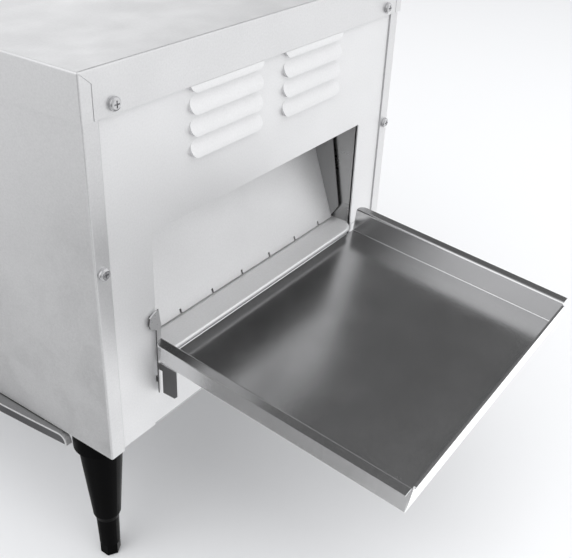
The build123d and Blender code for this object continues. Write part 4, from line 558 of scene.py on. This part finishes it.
marks = Build()
for body, knob in DIALS.items():
    hub = level_at(JOINT_PLACE[body + "_turn"], BEZEL_FACE)
    for step in range(DIAL_STEPS):
        turn = math.radians(STEP_TURN * step)
        out = EAST * math.sin(turn) + UP * math.cos(turn)
        across = out.cross(NORTH)
        marks.prism(TICK, hub, out, across, 0.0, MARK_T)
        dial_figure("figure_%s_%d" % (body, step), step, hub + out * FIGURE_R)
    rib = Build()
    knob_face = level_at(hub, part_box(knob)[0].y)
    rib.prism(stadium(*POINTER_HALF), knob_face + UP * POINTER_R, UP, EAST, -MARK_T, MARK_T * 2)
    rib.piece("pointer_" + body, "terminal_cream", body)
marks.piece("dial_ticks", "terminal_cream", "chassis")

# ---------------------------------------------------------------- on and off signs of the rocker
RAY_BACK_OFF = 0.05
ON_SHARE = 0.74
OFF_SHARE = 0.26
BAR_HALF = (0.0011, 0.0003)
RING_RADII = (0.001, 0.0015)


def on_rocker(share):
    """Place and outward direction on the front of the rocker at a share of its height."""
    rocker = NODES["rocker_button"]
    low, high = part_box("rocker_button")
    into = rocker.matrix_world.inverted()
    start = into @ Vector(((low.x + high.x) / 2, low.y - RAY_BACK_OFF, low.z + share * (high.z - low.z)))
    _, spot, out, _ = rocker.ray_cast(start, (into.to_3x3() @ NORTH).normalized())
    return rocker.matrix_world @ spot, (rocker.matrix_world.to_3x3() @ out).normalized()


signs = Build()
spot, out = on_rocker(ON_SHARE)
signs.prism(stadium(*BAR_HALF), spot, out.cross(EAST), -EAST, -MARK_T, MARK_T)
spot, out = on_rocker(OFF_SHARE)
signs.hoop(*RING_RADII, 20, spot, EAST, out.cross(EAST), -MARK_T, MARK_T)
signs.piece("rocker_signs", "terminal_cream", "rocker")

# ---------------------------------------------------------------- floor, light and camera
FLOOR_HALF = 9.0
floor_mesh = bpy.data.meshes.new("floor")
corners = [(x * FLOOR_HALF, y * FLOOR_HALF, 0.0) for x, y in ((-1, -1), (1, -1), (1, 1), (-1, 1))]
floor_mesh.from_pydata(corners, [], [(0, 1, 2, 3)])
floor = bpy.data.objects.new("floor", floor_mesh)
SCENE.collection.objects.link(floor)
paper = Shade("floor_paper", (0.83, 0.835, 0.845), 0.0, 0.9)
paper.bsdf.inputs["Specular IOR Level"].default_value = 0.1
floor.data.materials.append(paper.mat)
floor.visible_glossy = False

world = bpy.data.worlds.new("studio")
SCENE.world = world
world.use_nodes = True
WORLD_TREE = world.node_tree
BACKGROUND = WORLD_TREE.nodes["Background"]
DIRECTION = WORLD_TREE.nodes.new("ShaderNodeTexCoord").outputs["Generated"]
WORLD_BASE = 0.72


def world_lobe(total, toward, inner, outer, amount):
    """Add a soft bright or dark patch round one direction. The first patch starts from WORLD_BASE."""
    dot = WORLD_TREE.nodes.new("ShaderNodeVectorMath")
    dot.operation = "DOT_PRODUCT"
    dot.inputs[1].default_value = Vector(toward).normalized()
    WORLD_TREE.links.new(DIRECTION, dot.inputs[0])
    soft = WORLD_TREE.nodes.new("ShaderNodeMapRange")
    soft.interpolation_type = "SMOOTHERSTEP"
    soft.inputs["From Min"].default_value = math.cos(math.radians(outer))
    soft.inputs["From Max"].default_value = math.cos(math.radians(inner))
    soft.inputs["To Max"].default_value = amount
    WORLD_TREE.links.new(dot.outputs["Value"], soft.inputs["Value"])
    add = WORLD_TREE.nodes.new("ShaderNodeMath")
    WORLD_TREE.links.new(soft.outputs["Result"], add.inputs[0])
    if total is None:
        add.inputs[1].default_value = WORLD_BASE
    else:
        WORLD_TREE.links.new(total, add.inputs[1])
    return add.outputs["Value"]


# Direction, angle of full strength, angle where it ends (degrees), and how much it adds.
WORLD_LOBES = (
    ((0.58, 0.74, -0.36), 8.0, 50.0, 0.3),
    ((-0.1, 0.77, -0.63), 5.0, 32.0, 0.75),
    ((-0.52, -0.52, -0.68), 4.0, 24.0, -0.5),
    ((-0.66, 0.72, 0.12), 10.0, 36.0, 0.42),
    ((-0.3, 0.72, 0.62), 12.0, 30.0, -0.6),
    ((0.55, 0.6, 0.58), 15.0, 42.0, 0.3),
    ((0.5, -0.75, -0.2), 6.0, 28.0, -0.5),
    ((-0.35, -0.7, 0.6), 15.0, 50.0, 0.55),
)
level = None
for lobe in WORLD_LOBES:
    level = world_lobe(level, *lobe)
WORLD_TREE.links.new(level, BACKGROUND.inputs["Strength"])
BACKGROUND.inputs["Color"].default_value = (0.985, 0.99, 1.0, 1.0)


def area_light(name, place, target, size, power):
    """Rectangular light that looks at a place."""
    data = bpy.data.lights.new(name, "AREA")
    data.shape = "RECTANGLE"
    data.size, data.size_y = size
    data.energy = power
    lamp = bpy.data.objects.new(name, data)
    lamp.location = place
    lamp.rotation_mode = "QUATERNION"
    lamp.rotation_quaternion = (Vector(target) - Vector(place)).to_track_quat("-Z", "Y")
    SCENE.collection.objects.link(lamp)
    return lamp


MID = (CAD_LOW + CAD_HIGH) / 2
for lamp_name, place, size, power in (
    ("key", (1.2, 0.2, 2.4), (3.0, 3.0), 40.0),
    ("fill_front", (0.0, -2.4, 2.0), (2.8, 2.0), 18.0),
):
    lamp = area_light(lamp_name, place, MID, size, power)
    lamp.visible_glossy = False

camera_data = bpy.data.cameras.new("camera")
camera_data.lens = 52.77
camera_data.sensor_width = 36.0
camera_data.clip_start = 0.02
camera_data.clip_end = 50.0
camera = bpy.data.objects.new("camera", camera_data)
SCENE.collection.objects.link(camera)
SCENE.camera = camera
CAMERA_PLACE = Vector((0.6412, -0.4784, 0.5611))
CAMERA_BACK = Vector((0.48110, -0.70771, 0.51737)).normalized()
CAMERA_ROLL = 2.58
facing = (-CAMERA_BACK).to_track_quat("-Z", "Y").to_matrix()
roll = Matrix.Rotation(math.radians(CAMERA_ROLL), 3, "Z")
camera.matrix_world = Matrix.Translation(CAMERA_PLACE) @ (facing @ roll).to_4x4()
